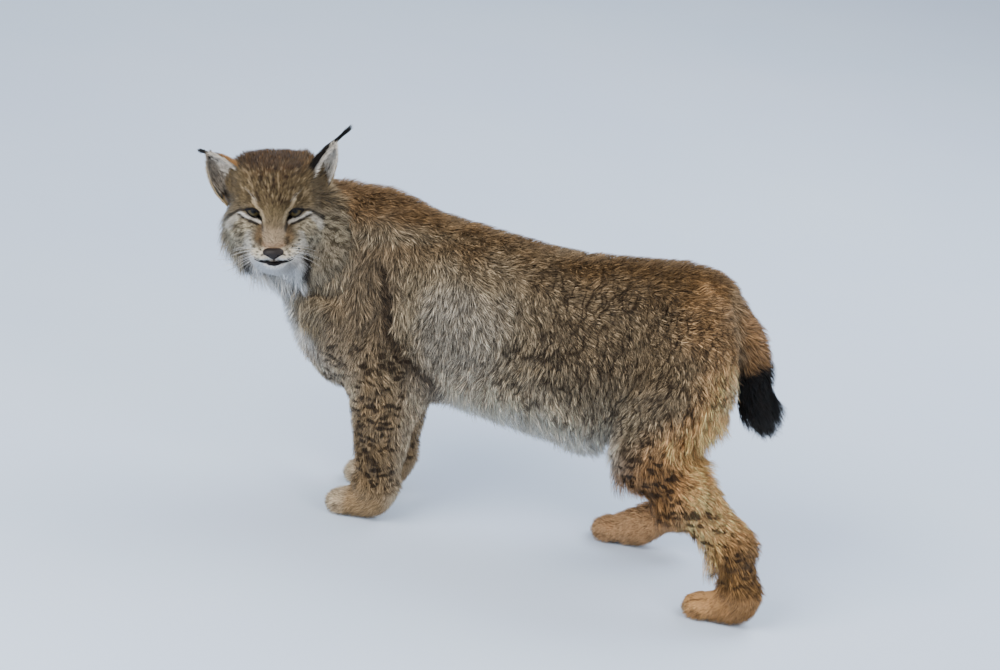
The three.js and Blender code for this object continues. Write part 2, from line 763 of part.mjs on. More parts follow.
function ear({ base, tip, faces }) {
  const [from, to] = [new THREE.Vector3(...base), new THREE.Vector3(...tip)];
  const axis = to.clone().sub(from);
  const side = new THREE.Vector3(...faces).cross(axis).normalize();
  const front = axis.clone().cross(side).normalize();
  const rings = EAR_STATIONS.map(({ at, half: wide, depth, wall }) => {
    const middle = from.clone().addScaledVector(axis, at);
    const arc = (inset) =>
      [-3, -2, -1, 0, 1, 2, 3].map((step) => {
        const angle = degToRad((step * EAR_WRAP) / 3);
        return middle
          .clone()
          .addScaledVector(side, (wide - inset) * Math.sin(angle))
          .addScaledVector(front, -(depth - inset) * Math.cos(angle));
      });
    return [...arc(0), ...arc(wall).toReversed()];
  });
  return loft(rings);
}

// Locks: bundles of hair, each flat and tapered, that grow from a surface, lie along it and bend

const LOCK_RINGS = 4;
const TIP_WIDTH = 0.09; // of the lock's full width

function lock(path, across, wide, thick) {
  const curve = new THREE.CatmullRomCurve3(path);
  const rings = Array.from({ length: LOCK_RINGS }, (_, i) => {
    const t = i / (LOCK_RINGS - 1);
    const middle = curve.getPoint(t);
    const along = curve.getTangent(t);
    const side = across.clone().addScaledVector(along, -across.dot(along)).normalize();
    const up = along.clone().cross(side);
    const full = Math.max(Math.sqrt(1 - t) * (0.8 + 0.5 * t), TIP_WIDTH);
    return [[-wide, 0], [0, thick], [wide, 0], [0, -thick]].map(([a, b]) =>
      middle.clone().addScaledVector(side, (a / 2) * full).addScaledVector(up, (b / 2) * full),
    );
  });
  return loft(rings);
}

function slopeAt(field, { x, y, z }) {
  const d = 0.5;
  return new THREE.Vector3(
    field(x + d, y, z) - field(x - d, y, z),
    field(x, y + d, z) - field(x, y - d, z),
    field(x, y, z + d) - field(x, y, z - d),
  ).divideScalar(2 * d);
}

function ontoSurface(field, place) {
  const p = new THREE.Vector3(...place);
  for (let step = 0; step < 12; step++) {
    const slope = slopeAt(field, p);
    p.addScaledVector(slope, -field(p.x, p.y, p.z) / Math.max(slope.lengthSq(), 0.25));
  }
  return p;
}

const vary = (share) => 1 + share * (2 * seededRandom() - 1);

// A lock whose root is sunk in a field's surface: it lies along `lie`, lifts off and lets its tip hang.
function lockOn(field, place, lie, { length, wide, thick, lift, hang = 0 }) {
  const root = ontoSurface(field, place);
  const normal = slopeAt(field, root).normalize();
  const way = new THREE.Vector3(...lie);
  const along = way.addScaledVector(normal, -way.dot(normal)).normalize();
  const long = length * vary(0.12);
  const rise = lift * vary(0.2);
  const at = (a, n, drop) => {
    const point = root.clone().addScaledVector(along, a * long).addScaledVector(normal, n);
    point.z -= drop * hang;
    return point;
  };
  const path = [
    at(-0.22, -thick * 1.6, 0),
    at(0.2, rise * 0.25, 0),
    at(0.62, rise * 0.75, 0.4),
    at(1, rise, 1),
  ];
  return lock(path, normal.clone().cross(along), wide * vary(0.12), thick);
}

const joined = (solids) => wasm.Manifold.union(solids);

// Cheek ruff: rows round each side of the face, from below the ear to the throat, with the beard between

const RUFF_EDGE = new THREE.CatmullRomCurve3(
  [[88, 0], [92, -32], [84, -66], [62, -96], [34, -108]].map(([x, z]) => new THREE.Vector3(x, 0, z)),
);
const RUFF_LIE = new THREE.CatmullRomCurve3(
  [[0.5, -0.45, -0.7], [0.4, -0.4, -0.85], [0.2, -0.2, -1], [-0.05, -0.05, -1], [0.1, 0.1, -1]].map(
    (way) => new THREE.Vector3(...way),
  ),
);
const RUFF_ROWS = [
  { y: 22, from: 0.12, to: 0.95, count: 7, length: 44 },
  { y: 2, from: 0.05, to: 1, count: 8, length: 52 },
  { y: -18, from: 0, to: 0.9, count: 7, length: 54 },
];
const RUFF_LOCK = { wide: 19, thick: 6, lift: 8, hang: 7 };
const BEARD_LOCK = { length: 32, wide: 15, thick: 6, lift: 7, hang: 6 };

seededRandom(11);
const ruffLocks = [];
for (const side of [1, -1])
  for (const { y, from, to, count, length } of RUFF_ROWS)
    for (let i = 0; i < count; i++) {
      const t = lerp(from, to, (i + 0.5 * vary(0.4)) / count);
      const spot = RUFF_EDGE.getPoint(t);
      const lie = RUFF_LIE.getPoint(t);
      const place = [side * spot.x, y, spot.z];
      ruffLocks.push(lockOn(headWithNeck, place, [side * lie.x, lie.y, lie.z], { ...RUFF_LOCK, length }));
    }
for (const x of [-22, -8, 8, 22])
  ruffLocks.push(lockOn(headWithNeck, [x, 64, -92], [x / 60, -0.5, -1], BEARD_LOCK));

const trunkAndNeck = joined([torso, nodes.neck]);
const ruffInPlace = inPlace(joined(ruffLocks)).subtract(grown(trunkAndNeck, LOCK_GAP));
nodes.head = withoutSlivers(largest(nodes.head.add(ruffInPlace)));

// Belly fringe, the brush of the tail and the long hair behind the thighs

const BELLY_LOCK = { length: 42, wide: 26, thick: 8, lift: 5, hang: 25 };
const THIGH_LOCK = { length: 42, wide: 22, thick: 7, lift: 7, hang: 3 };
const BRUSH_LOCK = { length: 46, wide: 21, thick: 8, lift: 1 };
const BRUSH_COUNT = 9;

const bellyLocks = [];
for (let x = -50; x <= 205; x += 28)
  for (const row of [-1, 0, 1]) {
    const y = row * 62 + 14 * (vary(1) - 1);
    const low = through(TRUNK, "belly", x) + 26 * Math.abs(row);
    const place = [x + 18 * (vary(1) - 1), y, low];
    bellyLocks.push(lockOn(body, place, [0.5, y / 250, -0.8], BELLY_LOCK));
  }
const hindLegs = joined([nodes.hindleg_left, nodes.hindleg_right]);
const fringe = joined(bellyLocks).subtract(grown(hindLegs, LOCK_GAP));
torso = withoutSlivers(largest(torso.add(fringe)));

for (const [name, side] of [["hindleg_left", -1], ["hindleg_right", 1]]) {
  const locks = [];
  for (let z = 322; z < 400; z += 26)
    for (const y of [64, 102]) locks.push(lockOn(body, [436, side * y, z], [0.1, 0, -1], THIGH_LOCK));
  const others = joined([torso, nodes.tail, nodes.tail_tip]);
  const clear = joined(locks).subtract(grown(others, LOCK_GAP));
  nodes[name] = withoutSlivers(largest(nodes[name].add(clear)));
}

const brush = [];
const brushLie = [0.35, 0, -1];
for (let i = 0; i < BRUSH_COUNT; i++) {
  const angle = (i / BRUSH_COUNT) * 2 * Math.PI;
  const place = [463 + 40 * Math.cos(angle), 4 + 40 * Math.sin(angle), 346 + 12 * Math.cos(angle)];
  brush.push(lockOn(tail, place, brushLie, BRUSH_LOCK));
}
const besideBrush = joined([nodes.tail, nodes.hindleg_left, nodes.hindleg_right]);
const brushClear = joined(brush).subtract(grown(besideBrush, LOCK_GAP));
nodes.tail_tip = withoutSlivers(largest(nodes.tail_tip.add(brushClear)));

const EAR_LOCK = { wide: 10, thick: 7, apart: 3.2 };

for (const [name, { base, tip, faces, tuft }] of Object.entries(EARS)) {
  const [low, high, end] = [base, tip, tuft].map((place) => new THREE.Vector3(...place));
  const root = high.clone().lerp(low, 0.28).addScaledVector(new THREE.Vector3(...faces), -7);
  const tuftLocks = [-1, 0, 1].map((step) => {
    const spread = new THREE.Vector3(0.4, 0.5, -0.8).multiplyScalar(step * EAR_LOCK.apart);
    const bend = high.clone().lerp(end, 0.45).addScaledVector(spread, 0.4);
    const path = [root, high, bend, end.clone().add(spread)];
    return lock(path, new THREE.Vector3(1, 0.3, 0), EAR_LOCK.wide, EAR_LOCK.thick - step);
  });
  const tufted = inPlace(joined([ear({ base, tip, faces }), ...tuftLocks]));
  nodes[`ear_${name}`] = withoutSlivers(clearOf(tufted, nodes.head));
}

// Colours

const COAT = 0x8a6f52;
const COLOURS = {
  torso: COAT,
  neck: COAT,
  head: 0x97836a,
  tail: COAT,
  tail_tip: 0x1b1817,
  nose: 0x7a5348,
  eye_left: 0x8a6a2e,
  eye_right: 0x8a6a2e,
  ear_left: 0x6c6259,
  ear_right: 0x6c6259,
};
const lynx = new THREE.Group();
for (const [name, solid] of Object.entries({ torso, ...nodes })) {
  const roughness = name.startsWith("eye") ? 0.15 : 0.9;
  const color = COLOURS[name] ?? COAT;
  const material = new THREE.MeshStandardMaterial({ color, roughness, metalness: 0 });
  const mesh = new THREE.Mesh(geometryOf(solid), material);
  mesh.name = name;
  lynx.add(mesh);
}

// The floor is z = 0, and the middle of the animal's length and breadth is the origin.
const whole = new THREE.Box3().setFromObject(lynx);
const middle = whole.getCenter(new THREE.Vector3());
for (const mesh of lynx.children) mesh.geometry.translate(-middle.x, -middle.y, -whole.min.z);

export default lynx;
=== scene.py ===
# %% [markdown]
# # A Eurasian lynx in its winter coat
# The animal stands still and looks over its left shoulder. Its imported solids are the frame:
# they give every place and size here, and the skin, the coat and the eyes are built around them.
# A coat is many thousand small things, so besides Blender's own operators this lesson works with
# numpy arrays: one array holds a place for each tuft, and one call turns them into a mesh.

# %% Load the frame
import math

import bpy
import numpy as np
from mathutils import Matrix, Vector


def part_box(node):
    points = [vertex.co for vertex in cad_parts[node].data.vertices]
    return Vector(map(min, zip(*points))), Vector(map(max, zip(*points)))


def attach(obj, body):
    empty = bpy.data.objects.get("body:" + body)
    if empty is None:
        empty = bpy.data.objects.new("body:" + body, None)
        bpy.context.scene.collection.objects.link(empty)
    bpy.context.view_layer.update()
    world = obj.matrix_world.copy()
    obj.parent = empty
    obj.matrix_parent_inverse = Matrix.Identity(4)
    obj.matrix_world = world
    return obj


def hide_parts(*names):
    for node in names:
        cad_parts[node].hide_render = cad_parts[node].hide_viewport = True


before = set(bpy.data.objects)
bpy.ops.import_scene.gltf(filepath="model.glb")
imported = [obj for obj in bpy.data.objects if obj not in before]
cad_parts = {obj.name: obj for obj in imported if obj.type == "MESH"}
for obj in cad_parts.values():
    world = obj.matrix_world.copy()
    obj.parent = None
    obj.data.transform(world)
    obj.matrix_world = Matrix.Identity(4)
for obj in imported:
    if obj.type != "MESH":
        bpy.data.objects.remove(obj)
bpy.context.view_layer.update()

import openvdb
from mathutils import Matrix, Vector

# %% [markdown]
# ## The animal's own millimetres
# The solids were drawn in millimetres with the head towards -X and the left side towards -Y,
# and the head has a space of its own: right, forward and up from the middle of the skull.
# The two eyeballs tell where that space lies in the frame, so nothing has to be fitted by eye.

# %% Places on the animal and places in the frame
MM = 0.001
HEAD_AT = np.array([-409.0, -99.0, 536.0])
HEAD_TURN = math.radians(103.4)
HEAD_TILT = math.radians(9.4)
EYE = np.array([35.5, 49.0, 8.0])
EYE_RADIUS = 13.0


def unit(vectors):
    vectors = np.asarray(vectors, float)
    return vectors / np.maximum(np.linalg.norm(vectors, axis=-1, keepdims=True), 1e-9)


FORWARD = np.array([-math.cos(HEAD_TURN), -math.sin(HEAD_TURN), 0.0])
UP = np.array(Matrix.Rotation(HEAD_TILT, 3, Vector(FORWARD)) @ Vector((0, 0, 1)))
RIGHT = np.cross(FORWARD, UP)
HEAD_AXES = np.stack([RIGHT, FORWARD, UP])


def centre_of(node):
    low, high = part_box(node)
    return (np.array(low) + np.array(high)) / 2


between_eyes = (centre_of("eye_left") + centre_of("eye_right")) / 2
SHIFT = between_eyes - (HEAD_AT + EYE[1] * FORWARD + EYE[2] * UP) * MM


def to_frame(places):
    return np.asarray(places, float) * MM + SHIFT


def from_frame(places):
    return (places.astype(float) - SHIFT) / MM


def to_head(places):
    return (places - HEAD_AT) @ HEAD_AXES.T


def from_head(places):
    return np.asarray(places, float) @ HEAD_AXES + HEAD_AT


eye_span = np.linalg.norm(centre_of("eye_left") - centre_of("eye_right")) / MM
print("eyes apart:", round(float(eye_span), 1), "mm, drawn", 2 * EYE[0])

# %% [markdown]
# ## Camera, floor and light
# The picture was taken from some way off with a long lens, a little above the animal and slightly
# rolled. A pale floor and large soft lamps stand in for a bright, overcast day.

# %% Camera
VIEW_TURN, VIEW_LIFT, VIEW_ROLL = (math.radians(v) for v in (10, 20, 10))
VIEW_DISTANCE = 7.0
VIEW_TARGET = to_frame([0, 0, 362.5])

back = np.array([
    math.sin(VIEW_TURN) * math.cos(VIEW_LIFT),
    -math.cos(VIEW_TURN) * math.cos(VIEW_LIFT),
    math.sin(VIEW_LIFT),
])
bpy.ops.object.camera_add(location=VIEW_TARGET + VIEW_DISTANCE * back)
camera = bpy.context.object
camera.rotation_mode = "QUATERNION"
roll = Matrix.Rotation(VIEW_ROLL, 3, "Z").to_quaternion()
camera.rotation_quaternion = Vector(back).to_track_quat("Z", "Y") @ roll
camera.data.lens = 144
camera.data.sensor_width = 36
camera.data.clip_end = 50
camera.data.dof.use_dof = False
bpy.context.scene.camera = camera
print("camera height:", round(camera.location.z, 2), "m")

# %% [markdown]
# ## Materials that vary
# Nothing real is one flat colour. A node group mixes two colours by a soft noise, and the floor,
# the whiskers, the nose and the wet rims of the eyes and lips all use it with values of their own.

# %% Helpers for node groups
def set_inputs(node, values):
    for key, value in values.items():
        node.inputs[key].default_value = value


def node_in(tree, kind, values=None, **settings):
    """A new node with its settings, and values for some of its inputs."""
    node = tree.nodes.new(kind)
    for key, value in settings.items():
        setattr(node, key, value)
    set_inputs(node, values or {})
    return node


def connect(tree, *links):
    """Each link is a node, its output, the node that takes it and the input there."""
    for start, output, end, given in links:
        tree.links.new(start.outputs[output], end.inputs[given])


def shaded_material(name, values):
    """A new material with its node tree and its shader, which has the given values."""
    material = bpy.data.materials.new(name)
    material.use_nodes = True
    shader = material.node_tree.nodes["Principled BSDF"]
    set_inputs(shader, values)
    return material, material.node_tree, shader


def new_group(name, inputs, outputs):
    group = bpy.data.node_groups.new(name, "ShaderNodeTree")
    for label, kind, value in inputs:
        group.interface.new_socket(label, in_out="INPUT", socket_type=kind).default_value = value
    for label, kind in outputs:
        group.interface.new_socket(label, in_out="OUTPUT", socket_type=kind)
    return group, node_in(group, "NodeGroupInput"), node_in(group, "NodeGroupOutput")


def uneven_group():
    group, given, result = new_group(
        "Uneven",
        [("First", "NodeSocketColor", (0.5, 0.5, 0.5, 1)), ("Second", "NodeSocketColor", (0.5, 0.5, 0.5, 1)),
         ("Scale", "NodeSocketFloat", 10.0)],
        [("Color", "NodeSocketColor")])
    at = node_in(group, "ShaderNodeTexCoord")
    noise = node_in(group, "ShaderNodeTexNoise", {"Detail": 3})
    mix = node_in(group, "ShaderNodeMix", data_type="RGBA")
    connect(group, (at, "Object", noise, "Vector"), (given, "Scale", noise, "Scale"),
            (noise, "Fac", mix, "Factor"), (given, "First", mix, "A"), (given, "Second", mix, "B"),
            (mix, "Result", result, "Color"))
    return group


UNEVEN = uneven_group()


def uneven_material(name, first, second, scale, roughness, specular=0.5):
    material, tree, shader = shaded_material(name, {"Roughness": roughness, "Specular IOR Level": specular})
    uneven = node_in(tree, "ShaderNodeGroup", node_tree=UNEVEN)
    set_inputs(uneven, {"First": (*first, 1), "Second": (*second, 1), "Scale": scale})
    connect(tree, (uneven, "Color", shader, "Base Color"))
    return material


print("node groups:", [group.name for group in bpy.data.node_groups])

# %% Floor and lamps
bpy.ops.mesh.primitive_plane_add(size=60, location=(0, 0, 0))
floor = bpy.context.object
floor.name = "floor"
floor.data.materials.append(uneven_material("pale_floor", (0.62, 0.75, 0.98), (0.75, 0.86, 1.0), 1.2, 0.9))

world = bpy.data.worlds.new("overcast")
bpy.context.scene.world = world
world.use_nodes = True
set_inputs(world.node_tree.nodes["Background"], {"Color": (0.86, 0.92, 1.0, 1), "Strength": 0.75})

LAMPS = {
    "high_front": {"at": (-1.6, -2.6, 3.0), "size": 2.2, "power": 150, "colour": (1.0, 0.97, 0.93)},
    "high_behind": {"at": (1.2, 2.2, 3.0), "size": 2.6, "power": 110, "colour": (0.93, 0.96, 1.0)},
    "low_front": {"at": (-1.5, -2.6, 0.75), "size": 1.0, "power": 24, "colour": (0.95, 0.97, 1.0)},
    "tail_side": {"at": (2.6, -1.6, 1.6), "size": 1.6, "power": 40, "colour": (1.0, 0.96, 0.9)},
}
for name, lamp in LAMPS.items():
    bpy.ops.object.light_add(type="AREA", location=lamp["at"])
    light = bpy.context.object
    light.name = name
    light.data.size = lamp["size"]
    light.data.energy = lamp["power"]
    light.data.color = lamp["colour"]
    aim = Vector((0, 0, 0.4)) - light.location
    light.rotation_euler = aim.to_track_quat("-Z", "Y").to_euler()
print("lamps:", len(LAMPS))

# %% [markdown]
# ## Where on the animal
# Length, lie and colour of the hair change from place to place. Each is asked for at thousands of
# places at once, so every region is a number from 0 to 1 that an array of places gives.
# A region has soft borders, as a real coat's regions do.

# %% Soft borders and distances
def smooth(start, end, value):
    """0 at start, 1 at end, and an even run between them."""
    share = np.clip((value - start) / (end - start), 0, 1)
    return share * share * (3 - 2 * share)


def to_rod(places, rod):
    """Distance to the surface of a rod between two balls, and the rod's direction."""
    first, last = np.array(rod[0]), np.array(rod[1])
    way = last[:3] - first[:3]
    share = np.clip(((places - first[:3]) @ way) / (way @ way), 0, 1)
    middle = first[:3] + share[:, None] * way
    radius = first[3] + share * (last[3] - first[3])
    return np.linalg.norm(places - middle, axis=1) - radius, unit(way)


# Planes, each by a point on it and the way out of it
NAPE = (-300, -85, 475), (-0.4, -0.89, 0.21)
CHEST = (-383.0, 0.0, 342.0), (-0.743, 0.0, -0.669)
RUMP = (385, 0, 400), (1, 0, 0.35)
TAIL_ROOT = (419.0, 0.0, 496.0), (0.776, 0.0, 0.63)
TAIL_INNER = (438, 0, 420), (0.95, 0, 0.3)
TAIL_BLACK = (450, 0, 425), (0.43, 0, -0.9)
THIGH = (335, 0, 330), (0.68, 0, -0.74)
SHANK_REAR = (400, 0, 215), (0.62, 0, 0.78)
HEEL = (500, 0, 110), (1, 0, 0.12)


def beyond(places, plane):
    """How far places lie beyond a plane."""
    point, way = plane
    return (places - point) @ unit(way)


def rods(chain):
    return list(zip(chain[:-1], chain[1:]))


print("from the chest's plane to the rump's:", round(float(-beyond(np.array([RUMP[0]]), CHEST)[0])), "mm")

# %% The regions of the coat
def over_face(head_place):
    """Places across and up over the face, the same on both sides."""
    return np.stack([np.abs(head_place[:, 0]), head_place[:, 2]], 1)


LIMBS = {
    "left_fore": [(-245, -66, 370, 56), (-176, -76, 285, 60), (-163, -76, 140, 44), (-160, -76, 40, 36)],
    "right_fore": [(-252, 66, 370, 56), (-184, 76, 285, 60), (-171, 76, 140, 44), (-168, 76, 40, 36)],
    "left_hind": [(345, -98, 390, 78), (316, -118, 262, 66), (391, -132, 206, 52), (489, -141, 142, 38),
                  (517, -145, 50, 35)],
    "right_hind": [(335, 88, 380, 76), (256, 98, 262, 60), (304, 98, 176, 48), (358, 96, 84, 34),
                   (262, 92, 34, 32)],
}
TAIL = [(388, 0, 498, 42), (423, 4, 462, 41), (444, 6, 404, 38), (461, 5, 354, 34), (472, 3, 320, 26)]


def regions(places):
    """How far each place belongs to each region of the coat, and its place in the head's space."""
    x, y, z = places.T
    head = to_head(places)
    right, forward, up = head.T
    on_head = smooth(-6, 22, beyond(places, NAPE)) * smooth(392, 420, z)
    face = on_head * smooth(-4, 40, forward) * smooth(-118, -92, up)
    tail = np.min([to_rod(places, rod)[0] for rod in rods(TAIL)], axis=0)
    fore = smooth(350, 230, z) * smooth(-60, -100, x)
    hind = smooth(-30, 50, beyond(places, THIGH)) * smooth(150, 200, x)
    return {
        "head_place": head,
        "head": on_head,
        "face": face,
        "ruff": on_head * smooth(40, -20, forward) * smooth(34, -34, up),
        "crown": on_head * smooth(30, 70, up),
        "cheek": on_head * smooth(50, 66, np.abs(right)) * smooth(30, 0, up) * smooth(-60, -30, forward),
        "spine": smooth(500, 540, z) * smooth(-300, -220, x) * smooth(425, 395, x) * (1 - on_head),
        "temple": on_head * smooth(34, 50, np.abs(right)) * smooth(44, 62, up) * smooth(-70, -40, forward),
        "neck": smooth(-200, -290, x) * (1 - on_head),
        "belly": smooth(330, 235, z) * smooth(-120, -40, x) * smooth(330, 250, x) * (1 - hind),
        "tail": smooth(14, 2, tail) * smooth(-4, 18, beyond(places, RUMP)) * smooth(60, 48, np.abs(y)),
        "breast": smooth(-290, -330, x) * smooth(310, 350, z) * smooth(450, 410, z) * (1 - on_head),
        "thigh_rear": smooth(360, 430, x) * smooth(470, 400, z) * smooth(30, 60, np.abs(y)),
        "chin": face * smooth(-70, -82, up) * smooth(60, 44, np.abs(right)),
        "knee_rear": smooth(352, 380, x) * smooth(232, 268, z) * smooth(370, 330, z) * smooth(-40, -70, y),
        "fore": fore,
        "hind": hind,
        "paw": np.maximum(smooth(84, 56, z), 0) * smooth(0.2, 0.6, fore + hind),
    }


print("regions:", ", ".join(list(regions(np.zeros((1, 3))))[1:]))

# %% [markdown]
# ## One skin
# The solids are parted with thin cuts, and the coat hides a slimmer body. So the solids of flesh
# are copied, joined and remeshed into one closed surface, which fills the cuts. A distance
# field of that surface then gives a second one inside it, as deep as the coat is long there:
# a few millimetres on the face and the paws, and more on the back, the belly and the ruff.

# %% How deep the coat is, in millimetres
DEPTH = {
    "body": 12.0, "neck": 13.0, "belly": 16.0, "thigh_rear": 14.0, "fore": 9.0, "hind": 9.0,
    "tail": 11.0, "head": 9.0, "crown": 8.0, "ruff": 16.0, "face": 3.2, "paw": 3.6, "spine": 6.5,
}


def by_region(table, where, count):
    """A value for each place, mixed from the region's values in the order of the table."""
    value = np.full(count, float(table["body"]))
    for region, wanted in table.items():
        if region != "body":
            value += (wanted - value) * where[region]
    return value


def coat_depth(places):
    """Hair lies flat on the chest and the root of the tail, so the skin is deeper where they bulge."""
    where = regions(places)
    x, _, z = places.T
    chest = beyond(places, CHEST) * (1 - where["head"]) * smooth(-215, -250, x) * smooth(150, 200, z)
    tail_root = beyond(places, TAIL_ROOT) * smooth(380, 400, x) * smooth(420, 460, z)
    return by_region(DEPTH, where, len(places)) + np.clip(2 * chest, 0, 38) + np.clip(3 * tail_root, 0, 30)


print("coat depth from", DEPTH["face"], "to", DEPTH["ruff"], "mm, and more where hair lies flat")

# %% Small helpers for operators
def deselect():
    if bpy.context.mode != "OBJECT":
        bpy.ops.object.mode_set(mode="OBJECT")
    bpy.ops.object.select_all(action="DESELECT")


def activate(piece):
    deselect()
    piece.select_set(True)
    bpy.context.view_layer.objects.active = piece


def copies_of(names, label):
    """Copies of solids, joined into one free object. The solids themselves stay as they are."""
    twins = []
    for name in names:
        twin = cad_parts[name].copy()
        twin.data = twin.data.copy()
        twin.parent = None
        for key in list(twin.keys()):
            del twin[key]
        twin.data.materials.clear()
        bpy.context.collection.objects.link(twin)
        twins.append(twin)
    activate(twins[0])
    for twin in twins:
        twin.select_set(True)
    if len(twins) > 1:
        bpy.ops.object.join()
    joined = bpy.context.object
    joined.name = label
    joined.data.name = label
    return joined


def apply_modifier(piece, kind, **settings):
    activate(piece)
    modifier = piece.modifiers.new(kind.lower(), kind)
    for key, value in settings.items():
        setattr(modifier, key, value)
    bpy.ops.object.modifier_apply(modifier=modifier.name)


def edit_all(piece, operator, **settings):
    """Runs an operator on all of a piece in edit mode."""
    activate(piece)
    bpy.ops.object.mode_set(mode="EDIT")
    bpy.ops.mesh.select_all(action="SELECT")
    operator(**settings)
    bpy.ops.object.mode_set(mode="OBJECT")


def mesh_from(name, places, faces):
    """A mesh from corners in millimetres and from faces that name them."""
    mesh = bpy.data.meshes.new(name)
    mesh.from_pydata(to_frame(places).tolist(), [], faces)
    return mesh


def piece_from(name, mesh):
    piece = bpy.data.objects.new(name, mesh)
    bpy.context.collection.objects.link(piece)
    return piece


def face_outward(piece):
    edit_all(piece, bpy.ops.mesh.normals_make_consistent, inside=False)


def values_of(items, key, width, kind=np.float32):
    """One property of every item, as an array with a row for each."""
    flat = np.empty(len(items) * width, kind)
    items.foreach_get(key, flat)
    return flat.reshape(-1, width)


def points_of(piece):
    return from_frame(values_of(piece.data.vertices, "co", 3))


def move_points(piece, places):
    piece.data.vertices.foreach_set("co", to_frame(places).astype(np.float32).ravel())
    piece.data.update()

# %% The outer surface of all that is flesh
FLESH = ["torso", "neck", "head", "nose", "eye_left", "eye_right", "tail", "tail_tip",
         "foreleg_left", "foreleg_right", "hindleg_left", "hindleg_right",
         "paw_left_fore", "paw_right_fore", "paw_left_hind", "paw_right_hind"]
SHELL_VOXEL = 3.2

skin = copies_of(FLESH, "skin")
skin.data.remesh_voxel_size = SHELL_VOXEL * MM
bpy.ops.object.voxel_remesh()
print("shell faces:", len(skin.data.polygons))

# %% The skin, a coat's depth inside it
SKIN_VOXEL = 5.0
BAND = 26.0  # how far the distance field reaches


def inner_surface(shell, depth_at):
    """Points and faces of the surface that lies depth_at(place) inside a closed shell."""
    places = points_of(shell)
    shell.data.calc_loop_triangles()
    corners = values_of(shell.data.loop_triangles, "vertices", 3, np.int32)
    transform = openvdb.createLinearTransform(voxelSize=SKIN_VOXEL)
    grid = openvdb.FloatGrid.createLevelSetFromPolygons(
        places.astype(np.float32), triangles=corners.astype(np.uint32),
        transform=transform, halfWidth=BAND / SKIN_VOXEL,
    )
    low, high = grid.evalActiveVoxelBoundingBox()
    values = np.empty([b - a + 1 for a, b in zip(low, high)], np.float32)
    grid.copyToArray(values, ijk=low)
    near = np.abs(values) < BAND - 0.5
    cells = np.argwhere(near)
    values[near] += depth_at((cells + low) * SKIN_VOXEL)
    inner = openvdb.FloatGrid(BAND)
    inner.transform = transform
    inner.copyFromArray(values, ijk=low)
    return inner.convertToQuads(0.0)


points, quads = inner_surface(skin, coat_depth)
shell_mesh = skin.data
skin.data = mesh_from("skin", points, quads.tolist())
bpy.data.meshes.remove(shell_mesh)
face_outward(skin)
apply_modifier(skin, "SMOOTH", factor=0.5, iterations=4)
print("skin faces:", len(skin.data.polygons))

# %% [markdown]
# ### The face
# A face is judged to the millimetre, so its faces are subdivided until they are about one
# millimetre wide, and their points are then moved onto the head's own form: the same ovals and
# rods, run smoothly together, that the head's solid was made from.

# %% Ovals and rods that run together
def smooth_min(a, b, reach):
    share = np.maximum(reach - np.abs(a - b), 0) / reach
    return np.minimum(a, b) - share * share * reach / 4


def oval(places, centre, radii):
    scaled = (places - centre) / radii
    reach = np.linalg.norm(scaled, axis=1)
    slope = np.linalg.norm(scaled / radii, axis=1)
    return reach * (reach - 1) / np.maximum(slope, 1e-9)


def head_form(places):
    """Distance to the head's surface, from places in the head's own space."""
    both = np.abs(places) * (1, 0, 0) + places * (0, 1, 1)
    form = oval(places, (0, -14, 22), (82, 79, 68))
    for centre, radii in [((24, -14, 38), (54, 58, 50)), ((42, 14, -24), (45, 48, 46)),
                          ((64, -8, 37), (19, 18, 22)), ((0, 22, 26), (56, 42, 46)),
                          ((0, 62, -46), (42, 47, 31))]:
        form = smooth_min(form, oval(both, centre, radii), 18)
    form = smooth_min(form, to_rod(places, ((0, 48, 14, 21), (0, 100, -29, 15)))[0], 18)
    form = smooth_min(form, to_rod(both, ((16, 56, 26, 7), (52, 38, 27, 8)))[0], 7)
    for centre, radii in [((18.5, 93, -53), (25, 25, 16.5)), ((0, 87, -72), (25, 27, 13)),
                          (EYE - 1, (18.5, 17, 15))]:
        form = smooth_min(form, oval(both, centre, radii), 7)
    form = smooth_min(form, to_rod(both, ((0, 105, -71, 5), (30, 95, -68, 4.5)))[0], 7)
    ruff = smooth_min(oval(both, (50, -14, -52), (39, 37, 54)), oval(both, (41, -6, -84), (25, 26, 36)), 22)
    form = smooth_min(form, ruff, 28)
    return smooth_min(form, oval(places, (0, 34, -70), (40, 44, 38)), 28)


print("the crown is", round(float(head_form(np.array([[0.0, -14, 110]]))[0]), 1), "mm under a place above it")


def onto(form, places, rounds=5):
    """Moves places onto the surface where a form is 0."""
    places = places.copy()
    step = 0.4
    for _ in range(rounds):
        slope = [form(places + way) - form(places - way) for way in np.eye(3) * step]
        slope = np.stack(slope, 1) / (2 * step)
        size = np.maximum((slope * slope).sum(1), 0.25)
        places -= (np.clip(form(places), -6, 6) / size)[:, None] * slope
    return places

# %% Fine faces on the front of the head
def in_face(head):
    return (head[:, 1] > 22) & (np.abs(head[:, 0]) < 72) & (head[:, 2] > -92) & (head[:, 2] < 60)


def select_faces(piece, chosen):
    piece.data.polygons.foreach_set("select", np.asarray(chosen, bool))
    piece.data.edges.foreach_set("select", np.zeros(len(piece.data.edges), bool))
    piece.data.vertices.foreach_set("select", np.zeros(len(piece.data.vertices), bool))


activate(skin)
bpy.context.tool_settings.mesh_select_mode = (False, False, True)
centres = from_frame(values_of(skin.data.polygons, "center", 3))
select_faces(skin, in_face(to_head(centres)))
bpy.ops.object.mode_set(mode="EDIT")
bpy.ops.mesh.subdivide(number_cuts=3, smoothness=0)
bpy.ops.object.mode_set(mode="OBJECT")

